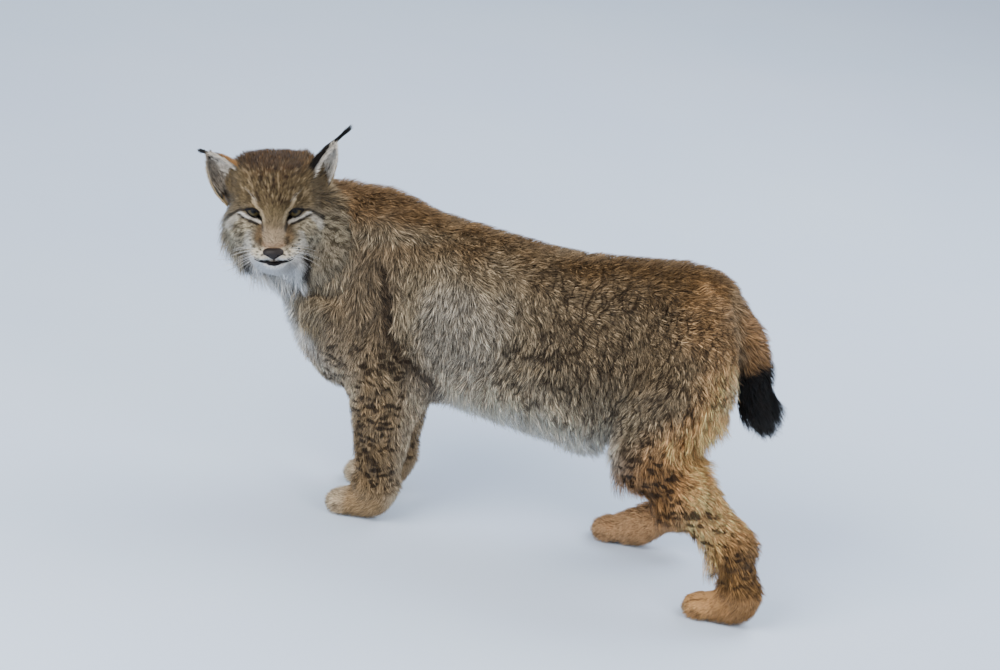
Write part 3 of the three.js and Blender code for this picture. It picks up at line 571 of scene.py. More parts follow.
places = points_of(skin)
head = to_head(places)
near = (head[:, 1] > 4) & (np.abs(head[:, 0]) < 90) & (head[:, 2] > -104) & (head[:, 2] < 76)
near &= np.linalg.norm(head, axis=1) < 170
share = smooth(4, 20, head[near, 1]) * smooth(90, 78, np.abs(head[near, 0]))
share *= smooth(-104, -94, head[near, 2])
target = onto(lambda at: head_form(at) + coat_depth(from_head(at)), head[near])
head[near] += (target - head[near]) * share[:, None]
places[near] = from_head(head[near])
move_points(skin, places)
print("skin faces with a fine face:", len(skin.data.polygons))

# %% [markdown]
# ### Lids and mouth
# Seen from the front, the opening between the lids is a slanted almond. Skin inside it is pushed
# back behind the eyeball, and skin round it is drawn over the ball as a lid. The line of the
# mouth and the groove under the nose are pushed in along a line over the face.

# %% Lines over the face, right side, as places across and up
def curve_through(first, control, last, count=12):
    t = np.linspace(0, 1, count)[:, None]
    return (1 - t) ** 2 * np.array(first) + 2 * t * (1 - t) * np.array(control) + t * t * np.array(last)


INNER_CORNER, OUTER_CORNER = (19.0, -8.5), (49.5, 8.5)
UPPER_LID, LOWER_LID = (31.5, 25.0), (37.5, -4.5)
ALMOND = np.concatenate([
    curve_through(INNER_CORNER, LOWER_LID, OUTER_CORNER)[:-1],
    curve_through(OUTER_CORNER, UPPER_LID, INNER_CORNER)[:-1],
])
MOUTH = np.array([(0, -69), (7, -68.5), (12, -66.5), (23, -65.5), (31, -63.5), (38, -59.5)])
PHILTRUM = np.array([(0, -55), (0, -66)])
GROOVES = (MOUTH, 4.2, 2.1), (PHILTRUM, 2.2, 1.6)  # line, depth and half width in millimetres


def to_line(flat, line):
    """Distance from places across and up to a line of points."""
    nearest = np.full(len(flat), np.inf)
    for a, b in zip(line[:-1], line[1:]):
        way = b - a
        share = np.clip(((flat - a) @ way) / (way @ way), 0, 1)
        nearest = np.minimum(nearest, np.linalg.norm(flat - a - share[:, None] * way, axis=1))
    return nearest


def to_almond(flat):
    """Distance to the edge of the lids, less than 0 between them."""
    closed = np.concatenate([ALMOND, ALMOND[:1]])
    inside = np.zeros(len(flat), bool)
    for (ax, az), (bx, bz) in zip(closed[:-1], closed[1:]):
        crosses = (az > flat[:, 1]) != (bz > flat[:, 1])
        with np.errstate(divide="ignore", invalid="ignore"):
            at = ax + (flat[:, 1] - az) * (bx - ax) / (bz - az)
        inside ^= crosses & (flat[:, 0] < at)
    return np.where(inside, -1, 1) * to_line(flat, closed)


def ball_front(flat):
    """How far forward the eyeball reaches at places across and up."""
    off = ((flat - EYE[[0, 2]]) ** 2).sum(1)
    return EYE[1] + np.sqrt(np.maximum(EYE_RADIUS ** 2 - off, 0))


print("points round the lids:", len(ALMOND), "and along the mouth:", len(MOUTH))

# %% Lids drawn over the eyeballs, and grooves
LID_THICK = 1.5
LID_REACH = 8.0

head = to_head(points_of(skin))
front = head[:, 1] > 40
flat = over_face(head[front])
forward = head[front, 1]
almond = to_almond(flat)
on_lid = smooth(LID_REACH, 1.5, almond) * (np.linalg.norm(flat - EYE[[0, 2]], axis=1) < 26)
lid = ball_front(flat) + LID_THICK
forward = forward + (np.maximum(lid, forward - 2.5) - forward) * on_lid
forward = np.where(almond < 0, ball_front(flat) + LID_THICK - smooth(0, -1.6, almond) * 8, forward)
groove = 0
for line, depth, width in GROOVES:
    groove = groove + depth * np.exp(-((to_line(flat, line) / width) ** 2)) * (forward > 60)
head[front, 1] = forward - groove
move_points(skin, from_head(head))
bpy.ops.object.shade_smooth()
print("lids and mouth on", int(front.sum()), "points")

# %% [markdown]
# ## Colours and markings
# A lynx is rufous along its back, greyer on its flanks and pale below, with dark spots on its
# legs. Each hair is banded, so the coat sparkles light and dark from close by. The markings are
# worked out from places on the animal, and the skin and every tuft take their colour from the
# same function, so they agree on every side. The numbers in the markings are millimetres:
# smooth(20, 30, x) is 0 up to x = 20 and 1 from x = 30 on, so a product of a few is a soft patch.

# %% Colours, as they look in daylight
def linear(red, green, blue):
    share = np.array([red, green, blue]) / 255
    return np.where(share < 0.04045, share / 12.92, ((share + 0.055) / 1.055) ** 2.4)


BACK = linear(126, 98, 64)
FLANK = linear(160, 142, 114)
GREY = linear(186, 175, 158)
BUFF = linear(188, 166, 132)
PALE = linear(222, 214, 202)
WHITE = linear(236, 234, 230)
CREAM = linear(226, 204, 172)
OCHRE = linear(228, 176, 118)
TAN = linear(168, 126, 82)
LEG = linear(158, 126, 86)
RUST = linear(140, 102, 58)
CROWN = linear(77, 52, 26)
FOREHEAD = linear(104, 88, 62)
# dark brown of the coat's spots, also used for painted shade behind the elbow, between the toes and between
# the locks
SPOT_AND_SHADE = linear(50, 34, 20)
BROWN_BLACK = linear(26, 20, 17)
BLACK = linear(7, 7, 8)
BRIDGE = linear(166, 146, 120)
WARM_GREY = linear(173, 158, 133)
WITHERS = linear(134, 108, 80)
UNDERSIDE = linear(232, 222, 204)
SHOULDER = linear(138, 113, 84)
HIND_LEG = linear(158, 110, 60)
FAR_FOOT = linear(186, 146, 104)
NEAR_FOOT = linear(172, 128, 82)
TAIL_FUR = linear(158, 118, 76)
BROW_MIDDLE = linear(134, 118, 88)
CHEEK = linear(204, 190, 160)
NOSE_SIDE = linear(132, 104, 70)
NOSE_TOP = linear(190, 146, 118)
EYE_PALE = linear(206, 186, 152)
WHISKER_PAD = linear(236, 220, 194)
EAR_INSIDE = linear(96, 84, 74)
EAR_PAINTED_SHADE = linear(84, 70, 52)
HORN = linear(236, 232, 224)
HORN_DARK = linear(196, 190, 180)
LEATHER = linear(15, 12, 12)
LEATHER_PALE = linear(36, 26, 22)
WET = linear(15, 11, 12)
WET_DARK = linear(7, 5, 6)
print("back, flank and crown:", BACK.round(2), FLANK.round(2), CROWN.round(2))


def blend(values, share, wanted):
    """Moves a colour or a way towards the wanted one, by a share for each place."""
    return values + (wanted - values) * share[:, None]

# %% Natural unevenness
def hashed(cells, seed):
    """A number from 0 to 1 for each cell of a grid, always the same for the same cell."""
    mixed = (cells * (73856093, 19349663, 83492791)).sum(-1) + seed * 2654435761
    mixed = (mixed ^ (mixed >> 13)) * 1274126177
    mixed ^= mixed >> 16
    return (mixed & 0xFFFFFF) / 0xFFFFFF


def nearest_spot(places, apart, seed):
    """Uneven spots about so far apart: distance to the nearest and the next, the way and its number."""
    cells = np.floor(places / apart).astype(np.int64)
    best = np.full(len(places), np.inf)
    second = best.copy()
    way = np.zeros((len(places), 3))
    number = np.zeros(len(places))
    for i in (-1, 0, 1):
        for j in (-1, 0, 1):
            for k in (-1, 0, 1):
                cell = cells + (i, j, k)
                spot = np.stack([cell[:, axis] + hashed(cell, seed + axis) for axis in range(3)], 1) * apart
                off = spot - places
                distance = np.linalg.norm(off, axis=1)
                closer = distance < best
                second = np.where(closer, best, np.minimum(second, distance))
                best = np.where(closer, distance, best)
                way[closer] = off[closer]
                number = np.where(closer, hashed(cell, seed + 7), number)
    return best, second, way, number


def ripple(places, length, seed):
    """A slow, uneven wave from -1 to 1 over the coat."""
    draw = np.random.default_rng(seed)
    total = np.zeros(len(places))
    for _ in range(6):
        way = unit(draw.normal(size=3)) * 2 * math.pi / (length * draw.uniform(0.7, 1.4))
        total += np.sin(places @ way + draw.uniform(0, 6.3))
    return np.clip(total / 3, -1, 1)


def stroke(flat, line, width):
    return smooth(width, width * 0.35, to_line(flat, np.array(line, float)))


SAMPLE = np.array([(-60.0, -100, 400), (440.0, 0, 360)])  # on the flank and on the tail
print("ripple on the flank and on the tail:", ripple(SAMPLE, 70, 5).round(2))

# %% Locks, and where the painted shade lines and the spots are plain
LOCK = 15.0  # millimetres across


def locks(places):
    """Wavy locks that are longer along the lie: the gap at their sides, the way in and a number."""
    warp = np.stack([ripple(places, 64, seed) for seed in (71, 72, 73)], 1) * 8
    near, second, way, number = nearest_spot((places + warp) * (1, 1, 0.36), LOCK, 79)
    return smooth(3.6, 0.6, second - near), way * (1, 1, 0.3), number


def elbow(places):
    """The shade behind the elbow, from 0 to 1: sharp towards the ribs and soft towards the leg."""
    line = np.array([(-206, 470), (-190, 417), (-180, 371), (-144, 332), (-97, 300), (-76, 274)], float)
    flat = places[:, [0, 2]]
    shade = stroke(flat, line, 13) + 0.45 * stroke(flat, line - (12, 4), 34)
    return np.clip(shade, 0, 1) * smooth(-30, -60, places[:, 1])


def shade_lines_and_spots(places, where):
    """How plain the painted shade lines in the gaps between upright locks and between level ones, and the leg
    spots, are.
    """
    x, _, z = places.T
    trunk = 1 - np.clip(where["head"] + where["paw"], 0, 1)
    # painted shade in the gaps between locks: most on the rear flank and the thigh, less on the back, the
    # belly and the legs
    lines = 0.28 + 0.72 * smooth(-40, 130, x) + 0.3 * smooth(430, 380, z) * smooth(-120, -40, x)
    lines *= (1 - 0.75 * smooth(490, 540, z)) * (1 - 0.7 * where["belly"])
    lines += (0.25 - lines) * np.clip(where["fore"] + 0.9 * where["hind"] + where["tail"], 0, 1)
    level = smooth(470, 520, z) * smooth(-180, -60, x) * 0.55 * (1 - where["tail"])
    high = smooth(390, 320, z) * smooth(-60, -100, x) * smooth(-310, -260, x)
    leg = high + 0.45 * where["hind"] * smooth(125, 165, z) + 0.6 * smooth(360, 290, z) * smooth(200, 250, x)
    leg = np.clip(leg, 0, 1)
    rear = beyond(places, SHANK_REAR)
    pale = smooth(-142, -118, x) * smooth(-60, -100, x) * 0.7 + where["hind"] * smooth(4, 30, rear) * 0.75
    spots = leg * (1 - np.clip(pale, 0, 1)) + 0.12 * where["neck"]
    return np.clip(np.stack([lines * trunk, level * trunk, spots * trunk], 1), 0, 1)


print("locks are about", LOCK, "mm across")

# %% The toes
PAWS = np.array([(-160, -76), (-168, 76), (510, -145), (302, 92)], float)  # along and across
TOE_GAP = 18.0


def nearest_paw(places):
    return PAWS[np.argmin(np.linalg.norm(places[:, None, :2] - PAWS[None], axis=2), axis=1)]


def toe_groove_shade(places, paw):
    """Painted shade in the grooves between the toes, from 0 to 1."""
    ahead, across = (places[:, :2] - nearest_paw(places)).T
    across = np.abs(across)
    gap = across % TOE_GAP
    lines = smooth(2.6, 0.8, np.minimum(gap, TOE_GAP - gap)) * smooth(44, 34, across)
    return lines * paw * smooth(46, 34, places[:, 2]) * smooth(-26, -44, ahead)


print("paws:", len(PAWS), "with toes", TOE_GAP, "mm apart")

# %% The markings of the body
def tinting(colours):
    """A function that moves these colours towards a wanted one, by a share for each place."""
    def tint(share, wanted):
        colours[:] = blend(colours, share, wanted)
    return tint


def body_colour(places, where):
    x, y, z = places.T
    wave = ripple(places, 70, 5)
    colour = np.tile(FLANK, (len(places), 1))
    tint = tinting(colour)
    tint(smooth(-20, 160, x) * smooth(310, 400, z) * 0.45, BACK)
    tint(smooth(470, 560, z + 14 * wave), BACK)
    tint(smooth(515, 570, z + 8 * wave) * smooth(-120, -220, x) * 0.4, WITHERS)
    tint(smooth(-150, -90, x) * smooth(60, -20, x) * smooth(500, 430, z + 16 * wave) * 0.6, GREY)
    low = smooth(350, 270, z + 16 * wave) * smooth(-150, -80, x) * smooth(300, 200, x)
    tint(low * 0.85, CREAM * 0.95)
    tint(smooth(300, 240, z + 10 * wave) * smooth(-140, -60, x) * smooth(330, 250, x), UNDERSIDE)
    rump = smooth(280, 360, x) * smooth(440, 480, z) * smooth(0, 30, np.abs(y)) * (1 - where["tail"])
    tint(rump * 0.5, OCHRE * 0.7)
    front = beyond(places, CHEST)
    breast = smooth(-60, -16, front + 8 * wave) * smooth(-200, -260, x) * (1 - where["head"])
    tint(breast * 0.8, WHITE)
    shoulder = smooth(-150, -195, x) * smooth(-310, -270, x) * smooth(250, 330, z) * smooth(-40, -80, y)
    tint(shoulder * 0.5, SHOULDER)
    ruff_edge = where["neck"] * smooth(-330, -290, x) * smooth(-250, -280, x) * smooth(380, 420, z)
    tint(ruff_edge * smooth(530, 490, z) * 0.6, BUFF * 0.9)
    tint(smooth(-215, -290, x) * smooth(455, 400, z) * smooth(-30, 40, y) * 0.8, PALE)
    tint(where["hind"] * 0.85, HIND_LEG)
    tint(where["fore"] * 0.7, LEG)
    tint(smooth(355, 415, x) * smooth(490, 420, z) * (1 - where["tail"]) * 0.95, OCHRE * 1.1)
    shank_rear = where["hind"] * smooth(4, 34, beyond(places, SHANK_REAR) + 8 * wave)
    tint(shank_rear * 0.9, OCHRE * 1.1)
    rim = smooth(405, 430, x) * smooth(450, 410, z) * (1 - where["tail"]) * (1 - where["hind"])
    tint(np.clip(rim, 0, 1) * 0.8, CREAM)
    heel = beyond(places, HEEL)
    tint(where["hind"] * smooth(190, 140, z) * smooth(-44, -14, heel) * 0.95, RUST)
    far_hind = where["hind"] * smooth(20, 50, y) * smooth(200, 120, z)
    tint(far_hind * 0.8, FAR_FOOT)
    near_paw = where["paw"] * smooth(0, -40, y) * smooth(300, 350, x)
    tint(near_paw * 0.7, NEAR_FOOT)
    inner_leg = smooth(52, 30, np.abs(y)) * smooth(300, 200, z) * (where["fore"] + where["hind"])
    tint(np.clip(inner_leg, 0, 1) * 0.7, CREAM)
    fore_rear = where["fore"] * smooth(-142, -118, x)
    tint(fore_rear * 0.6, CREAM * 0.8)
    fore_front = where["fore"] * smooth(-196, -214, x)
    tint(fore_front * 0.5, CREAM)
    tint(where["tail"] * 0.85, TAIL_FUR)
    # painted shade in the grooves between the toes
    tint(toe_groove_shade(places, where["paw"]) * 0.75, SPOT_AND_SHADE)
    inner_tail = where["tail"] * smooth(10, -18, beyond(places, TAIL_INNER))
    tint(inner_tail * 0.55, BUFF * 0.85)
    faint, _, _, number = nearest_spot(places, 40, 37)
    tint(smooth(13, 6, faint + 5 * number) * 0.25 * (1 - where["head"]), SPOT_AND_SHADE)
    # painted shade behind the elbow
    tint(elbow(places) * 0.8, SPOT_AND_SHADE)
    under = beyond(places, TAIL_BLACK)
    tint(where["tail"] * smooth(-26, -4, under + 4 * wave) * 0.6, SPOT_AND_SHADE)
    return blend(colour, where["tail"] * smooth(-4, 5, under + 4 * wave), BLACK)


print("colours of the flank and the tail:", body_colour(SAMPLE, regions(SAMPLE)).round(2).tolist())

# %% The markings of the face
FLECK = 2.2  # millimetres across, and longer away from the nose
# Places across and up, on both sides
WHISKER_SPOTS = [(21, -44), (26, -47), (31, -42.5), (36, -45), (40, -41), (19, -51), (27, -51.5),
                 (34, -51), (40, -49), (25, -58), (31, -57), (37, -55)]
# Dark lines on the forehead: points across and up, and a width
BROW_LINES = [([(11, 20), (12, 40), (22, 68)], 5), ([(0, 46), (0, 82)], 4), ([(26, 30), (38, 58)], 4)]


def flecks(head_place):
    """Short dashes that run out from the nose, each with a number from 0 to 1."""
    off = head_place - (0, 96, -40)
    reach = np.linalg.norm(off, axis=1)
    spread = off / np.maximum(reach, 1)[:, None] * 12.4 * reach[:, None] ** 0.385
    return nearest_spot(spread, FLECK, 83)[3]


def head_colour(where, colour):
    forward, up = where["head_place"][:, 1:].T
    flat = over_face(where["head_place"])
    across = flat[:, 0]
    head = where["head"]
    wave = ripple(where["head_place"], 22, 9)
    fleck = flecks(where["head_place"])
    before = smooth(0, 30, forward)
    dark_fleck = smooth(0.5, 0.75, fleck)

    tint = tinting(colour)

    def mark(line, width, share, wanted):
        tint(before * stroke(flat, line, width) * share, wanted)

    tint(head, FOREHEAD)
    tint(head * smooth(24, -16, up + 4 * wave) * smooth(22, 46, across + 4 * wave) * 0.85, WARM_GREY)
    tint(head * smooth(4, -24, forward) * smooth(50, 20, up) * 0.75, BUFF)
    tint(head * smooth(54, 82, up + 6 * wave) * 0.95, CROWN)
    brow = before * smooth(10, 26, up) * smooth(90, 70, up)
    for line, width in BROW_LINES:
        tint(brow * stroke(flat, line, width) * (0.25 + 0.6 * dark_fleck), SPOT_AND_SHADE)
    tint(brow * dark_fleck * smooth(56, 36, across) * 0.55, SPOT_AND_SHADE)
    tint(brow * smooth(0.22, 0.08, fleck) * 0.3, BUFF)
    tint(before * smooth(20, 12, across) * smooth(24, 8, up) * 0.5, BROW_MIDDLE)
    cheeks = before * smooth(30, 42, across) * smooth(4, -10, up) * smooth(-62, -46, up)
    tint(cheeks * 0.4, CHEEK)
    tint(cheeks * dark_fleck * 0.7, SPOT_AND_SHADE)
    side = head * smooth(74, 84, across + 3 * wave) * smooth(30, 10, up) * smooth(-20, 4, forward)
    tint(side * (0.15 + 0.6 * dark_fleck), FOREHEAD * 0.5)
    mark([(20, -13), (21, -24), (26, -32)], 7, 0.65, NOSE_SIDE)
    mark([(21.5, -31), (21, -39)], 3.0, 0.8, SPOT_AND_SHADE)
    tint(before * smooth(17, 11, across) * smooth(8, -6, up) * 0.35, BRIDGE * 0.8)
    # the nose bridge's own pale colour, painted stronger where the top of the nose faces the light (painted
    # light)
    lit = smooth(-8, -18, up) * smooth(40, 70, forward)
    tint(before * smooth(19, 13, across - 0.3 * (up + 30)) * lit, BRIDGE)
    tint(before * smooth(20, 14, across) * smooth(-26, -38, up) * 0.3, NOSE_TOP)
    mark([(34, 29), (28.5, 16), (21, 9.5), (16.5, -2), (17, -8)], 4.4, 0.7, EYE_PALE)
    mark([(23, -14), (35, -8.5), (47, -1.5), (57, 3)], 3.6, 0.95, PALE)
    mark([(63, -3), (73, -12), (76, -22)], 8, 0.5, PALE)
    pad = before * stroke(flat, [(12, -54), (24, -54), (36, -51)], 17)
    tint(pad * 0.95, WHISKER_PAD)
    mark([(5, -62), (15, -62.5), (24, -62.5)], 6, 0.7, WHITE)
    mark([(42, -30), (46, -44), (50, -58)], 8, 0.4, PALE)
    tint(before * smooth(-67, -74, up) * smooth(50, 36, across), WHITE)
    tint(head * smooth(-70, -90, up) * smooth(44, 30, across), WHITE)
    tint(head * where["ruff"] * smooth(-60, -80, up) * smooth(54, 40, across) * 0.7, WHITE)
    for spot in WHISKER_SPOTS:
        reach = np.linalg.norm((flat - spot) * (0.6, 1), axis=1)
        tint(before * smooth(1.9, 1.1, reach) * 0.95, BROWN_BLACK)
    mark([(21, -9), (18.5, -14), (18, -20)], 2.6, 0.8, BROWN_BLACK)
    mark([(50, 9), (60, 6), (72, -3), (80, -12)], 3.2, 0.85, BROWN_BLACK)
    mark([(27, -17), (36, -12.5), (48, -6), (59, -0.5)], 3.4, 0.95, BROWN_BLACK)
    tint(before * smooth(2.6, 1.2, np.abs(to_almond(flat))) * (forward > 30), BLACK)
    tint(before * smooth(4.6, 3.0, to_line(flat, MOUTH)) * (forward > 55), BLACK)
    tint(before * smooth(2.4, 1.2, to_line(flat, PHILTRUM)) * (forward > 90), BLACK)
    ruff_streak = head * stroke(flat, [(52, -84), (46, -112)], 11) * smooth(-34, -10, forward)
    tint(ruff_streak * 0.95, BROWN_BLACK)
    return colour * np.exp((0.45 - fleck) * 0.5 * head)[:, None]


def coat_colour(places, where):
    return np.clip(head_colour(where, body_colour(places, where)), 0, 1)


print("spots by the whiskers:", len(WHISKER_SPOTS), "and lines on the brow:", len(BROW_LINES))

# %% Colour on the skin
def paint(piece, colours, name="coat"):
    layer = piece.data.color_attributes.new(name, "FLOAT_COLOR", "POINT")
    full = np.ones((len(colours), 4), np.float32)
    full[:, :3] = colours
    layer.data.foreach_set("color", full.ravel())


skin_places = points_of(skin)
skin_where = regions(skin_places)
skin_colours = coat_colour(skin_places, skin_where)
paint(skin, skin_colours * 0.8)
paint(skin, shade_lines_and_spots(skin_places, skin_where), "shade_lines_and_spots")
print("mean colour of the skin:", skin_colours.mean(0).round(2))

# %% [markdown]
# ## The coat
# A tuft stands for a few dozen hairs that lie together. It is a thin closed blade with three
# sides, of 4, 10 or 22 triangles, and it starts a little under the skin, rises out of it and
# bends over along the lie of the coat. Winter fur gathers in clumps, so the tips of neighbours
# are drawn towards each other.

# %% What a tuft is like in each region: millimetres, and tufts in a square centimetre
LENGTH = {"body": 21.0, "neck": 25.0, "belly": 46.0, "thigh_rear": 34.0, "fore": 17.0, "hind": 19.0,
          "tail": 22.0, "head": 17.0, "crown": 15.0, "ruff": 46.0, "cheek": 38.0, "face": 5.8,
          "paw": 9.0}
WIDTH = {"body": 1.9, "neck": 1.9, "belly": 2.0, "fore": 1.7, "hind": 1.7, "tail": 2.0, "head": 1.5,
         "crown": 1.5, "ruff": 1.8, "face": 0.95, "paw": 1.4}
CLUMP = {"body": 0.36, "neck": 0.3, "belly": 0.5, "thigh_rear": 0.45, "fore": 0.35, "hind": 0.4,
         "tail": 0.4, "head": 0.2, "ruff": 0.4, "face": 0.05, "paw": 0.15}
DENSITY = {"body": 22.8, "neck": 25.0, "belly": 22.0, "fore": 27.0, "hind": 26.0, "tail": 26.0,
           "head": 34.0, "crown": 38.0, "ruff": 30.0, "face": 88.0, "paw": 26.0}
print("tufts are", min(LENGTH.values()), "to", max(LENGTH.values()), "mm long")

# %% The lie of the coat
def ways_along(chains, places, reach):
    """Along the nearest rod, from the trunk outwards, mixed over about the reach where rods meet."""
    total = np.zeros((len(places), 3))
    for chain in chains:
        for rod in rods(chain):
            distance, way = to_rod(places, rod)
            total += (1 / np.maximum(distance + reach, 2) ** 4)[:, None] * way
    return unit(total)


def lie_of(places, where):
    x, y, z = places.T
    side = np.sign(y)
    rear = smooth(-200, 190, x)
    fall = 68 - 54 * rear
    fall += (80 - fall) * smooth(470, 350, z)
    fall *= 1 - 0.6 * smooth(520, 610, z)
    fall = np.radians(fall)
    lie = unit(np.stack([np.cos(fall), 0.1 * side, -np.sin(fall)], 1))
    lie = blend(lie, where["neck"], unit([0.4, 0, -0.9]))
    lie = blend(lie, smooth(-235, -285, x) * smooth(450, 380, z), unit([0.15, 0, -1]))
    lie = blend(lie, smooth(230, 330, x) * smooth(500, 420, z), unit([0.2, 0, -0.98]))
    on_limb = np.clip(where["fore"] + where["hind"], 0, 1)
    lie = blend(lie, on_limb, ways_along(LIMBS.values(), places, 12))
    lie = blend(lie, where["paw"] * smooth(74, 44, z), unit([-0.85, 0, -0.45]))
    lie = blend(lie, where["tail"], ways_along([TAIL], places, 20))
    lie = blend(lie, where["tail"] * smooth(400, 370, z) * 0.7, unit([0.62, 0, -0.78]))
    right, forward, up = where["head_place"].T
    across = np.sign(right)
    from_nose = unit(where["head_place"] - (0, 118, -40))
    cheek = smooth(20, 55, np.abs(right)) * smooth(30, -10, up)
    cheek *= 1 - smooth(18, 8, to_line(over_face(where["head_place"]), MOUTH)) * smooth(40, 60, forward)
    from_nose = from_nose + np.stack([0.25 * across, -0.1 + 0 * up, -0.75 + 0 * up], 1) * cheek[:, None]
    from_nose = blend(from_nose, where["crown"], np.array([0.0, -1.0, 0.1]))
    outward = np.stack([0.45 * across, -0.3 + 0 * up, -0.85 + 0 * up], 1)
    from_nose = blend(from_nose, np.maximum(where["ruff"], where["cheek"]), outward)
    return unit(blend(lie, where["head"], unit(from_nose) @ HEAD_AXES))


print("lie of the hair on the flank and the tail:", lie_of(SAMPLE, regions(SAMPLE)).round(2).tolist())

# %% Places for tufts
def unwrap(piece):
    edit_all(piece, bpy.ops.uv.smart_project, angle_limit=math.radians(72), island_margin=0.002)
    piece.data.uv_layers.active.name = "OFBake"


def scatter(piece, density_at, seed):
    """Even but irregular places on a mesh, with the way out of it and the place on its unwrap."""
    mesh = piece.data
    mesh.calc_loop_triangles()
    corners = values_of(mesh.loop_triangles, "vertices", 3, np.int32)
    loops = values_of(mesh.loop_triangles, "loops", 3, np.int32)
    normals = values_of(mesh.vertex_normals, "vector", 3)
    flat = values_of(mesh.uv_layers["OFBake"].data, "uv", 2)
    tri = points_of(piece)[corners]
    area = np.linalg.norm(np.cross(tri[:, 1] - tri[:, 0], tri[:, 2] - tri[:, 0]), axis=1) / 2
    wanted = np.cumsum(area * density_at(tri.mean(1)) / 100)
    draw = np.random.default_rng(seed)
    total = int(wanted[-1])
    picked = np.searchsorted(wanted, (np.arange(total) + draw.random(total)) * wanted[-1] / total)
    picked = np.minimum(picked, len(corners) - 1)
    share = draw.random((total, 2))
    over = share.sum(1) > 1
    share[over] = 1 - share[over]
    weight = np.stack([1 - share.sum(1), share[:, 0], share[:, 1]], 1)[:, :, None]
    return {
        "place": (tri[picked] * weight).sum(1),
        "out": unit((normals[corners[picked]] * weight).sum(1)),
        "uv": (flat[loops[picked]] * weight).sum(1),
    }


def bare(where):
    """Where nothing grows: between the lids, on the nose and along the lips."""
    flat = over_face(where["head_place"])
    forward = where["head_place"][:, 1]
    front = where["head"] * (forward > 40)
    nose = oval(where["head_place"], (0, 115, -49), (16, 16, 9)) < 1
    lips = (to_line(flat, MOUTH) < 3.6 + 1.8 * smooth(12, 22, flat[:, 0])) & (forward > 60)
    return (front > 0.5) & ((to_almond(flat) < 1.3) | nose | lips)


def density_at(places):
    where = regions(places)
    density = by_region(DENSITY, where, len(places))
    return density * ~bare(where) * (places[:, 2] > 5)


unwrap(skin)
roots = scatter(skin, density_at, 21)
print("tufts on the skin:", len(roots["place"]))

# %% From places to tufts
PATCH = 0.003  # how much of the unwrap each tuft's patch spans


def triangles_of(rings):
    return 6 * (rings - 2) + 4


def tuft_mesh(name, paths, sides, outs, widths, colours, uv):
    """Closed blades with three sides. paths: tufts x rings x 3, the last ring is the tip."""
    count, rings = paths.shape[:2]
    stations = np.linspace(0, 1, rings)
    full = (0.75 + 1.0 * stations - 1.3 * stations ** 2)[None, :-1, None]
    half = widths[:, None, None] / 2 * full
    body, side, out = paths[:, :-1], sides[:, None], outs[:, None]
    ring = np.stack([body - side * half, body + side * half, body + out * half * 0.8], 2)
    points = np.concatenate([ring.reshape(count, -1, 3), paths[:, -1:]], 1)
    each = points.shape[1]
    quads = []
    for r in range(rings - 2):
        for a, b in ((0, 1), (1, 2), (2, 0)):
            quads.append((3 * r + a, 3 * r + b, 3 * r + 3 + b, 3 * r + 3 + a))
    last = 3 * (rings - 2)
    tip = each - 1
    tris = [(last, last + 1, tip), (last + 1, last + 2, tip), (last + 2, last, tip), (0, 2, 1)]
    pattern = np.concatenate([np.ravel(quads), np.ravel(tris)]).astype(np.int32)
    sizes = np.array([4] * len(quads) + [3] * len(tris), np.int32)
    corners = (pattern[None] + (np.arange(count) * each)[:, None]).ravel()
    totals = np.tile(sizes, count)
    mesh = bpy.data.meshes.new(name)
    mesh.vertices.add(count * each)
    mesh.vertices.foreach_set("co", to_frame(points.reshape(-1, 3)).astype(np.float32).ravel())
    mesh.loops.add(len(corners))
    mesh.loops.foreach_set("vertex_index", corners.astype(np.int32))
    mesh.polygons.add(len(totals))
    mesh.polygons.foreach_set("loop_start", np.concatenate([[0], np.cumsum(totals)[:-1]]).astype(np.int32))
    mesh.polygons.foreach_set("loop_total", totals)
    mesh.polygons.foreach_set("use_smooth", np.ones(len(totals), bool))
    mesh.update(calc_edges=True)
    shade = np.concatenate([np.repeat(colours[:, :-1], 3, axis=1), colours[:, -1:]], 1)
    piece = piece_from(name, mesh)
    paint(piece, shade.reshape(-1, 3))
    patch = np.array([(-0.5, 0), (0.5, 0), (0, 0.2)])
    spread = [patch + (0, t) for t in stations[:-1]] + [np.array([(0, 1.0)])]
    spread = (np.concatenate(spread) - (0, 0.5)) * PATCH
    layer = mesh.uv_layers.new(name="OFBake")
    layer.data.foreach_set("uv", (uv[:, None] + spread[None, pattern]).astype(np.float32).ravel())
    return piece


print("triangles of a tuft with 2, 3 and 5 rings:", [triangles_of(rings) for rings in (2, 3, 5)])

# %% The way of each tuft
ROOT_DEPTH = 1.6  # millimetres under the skin


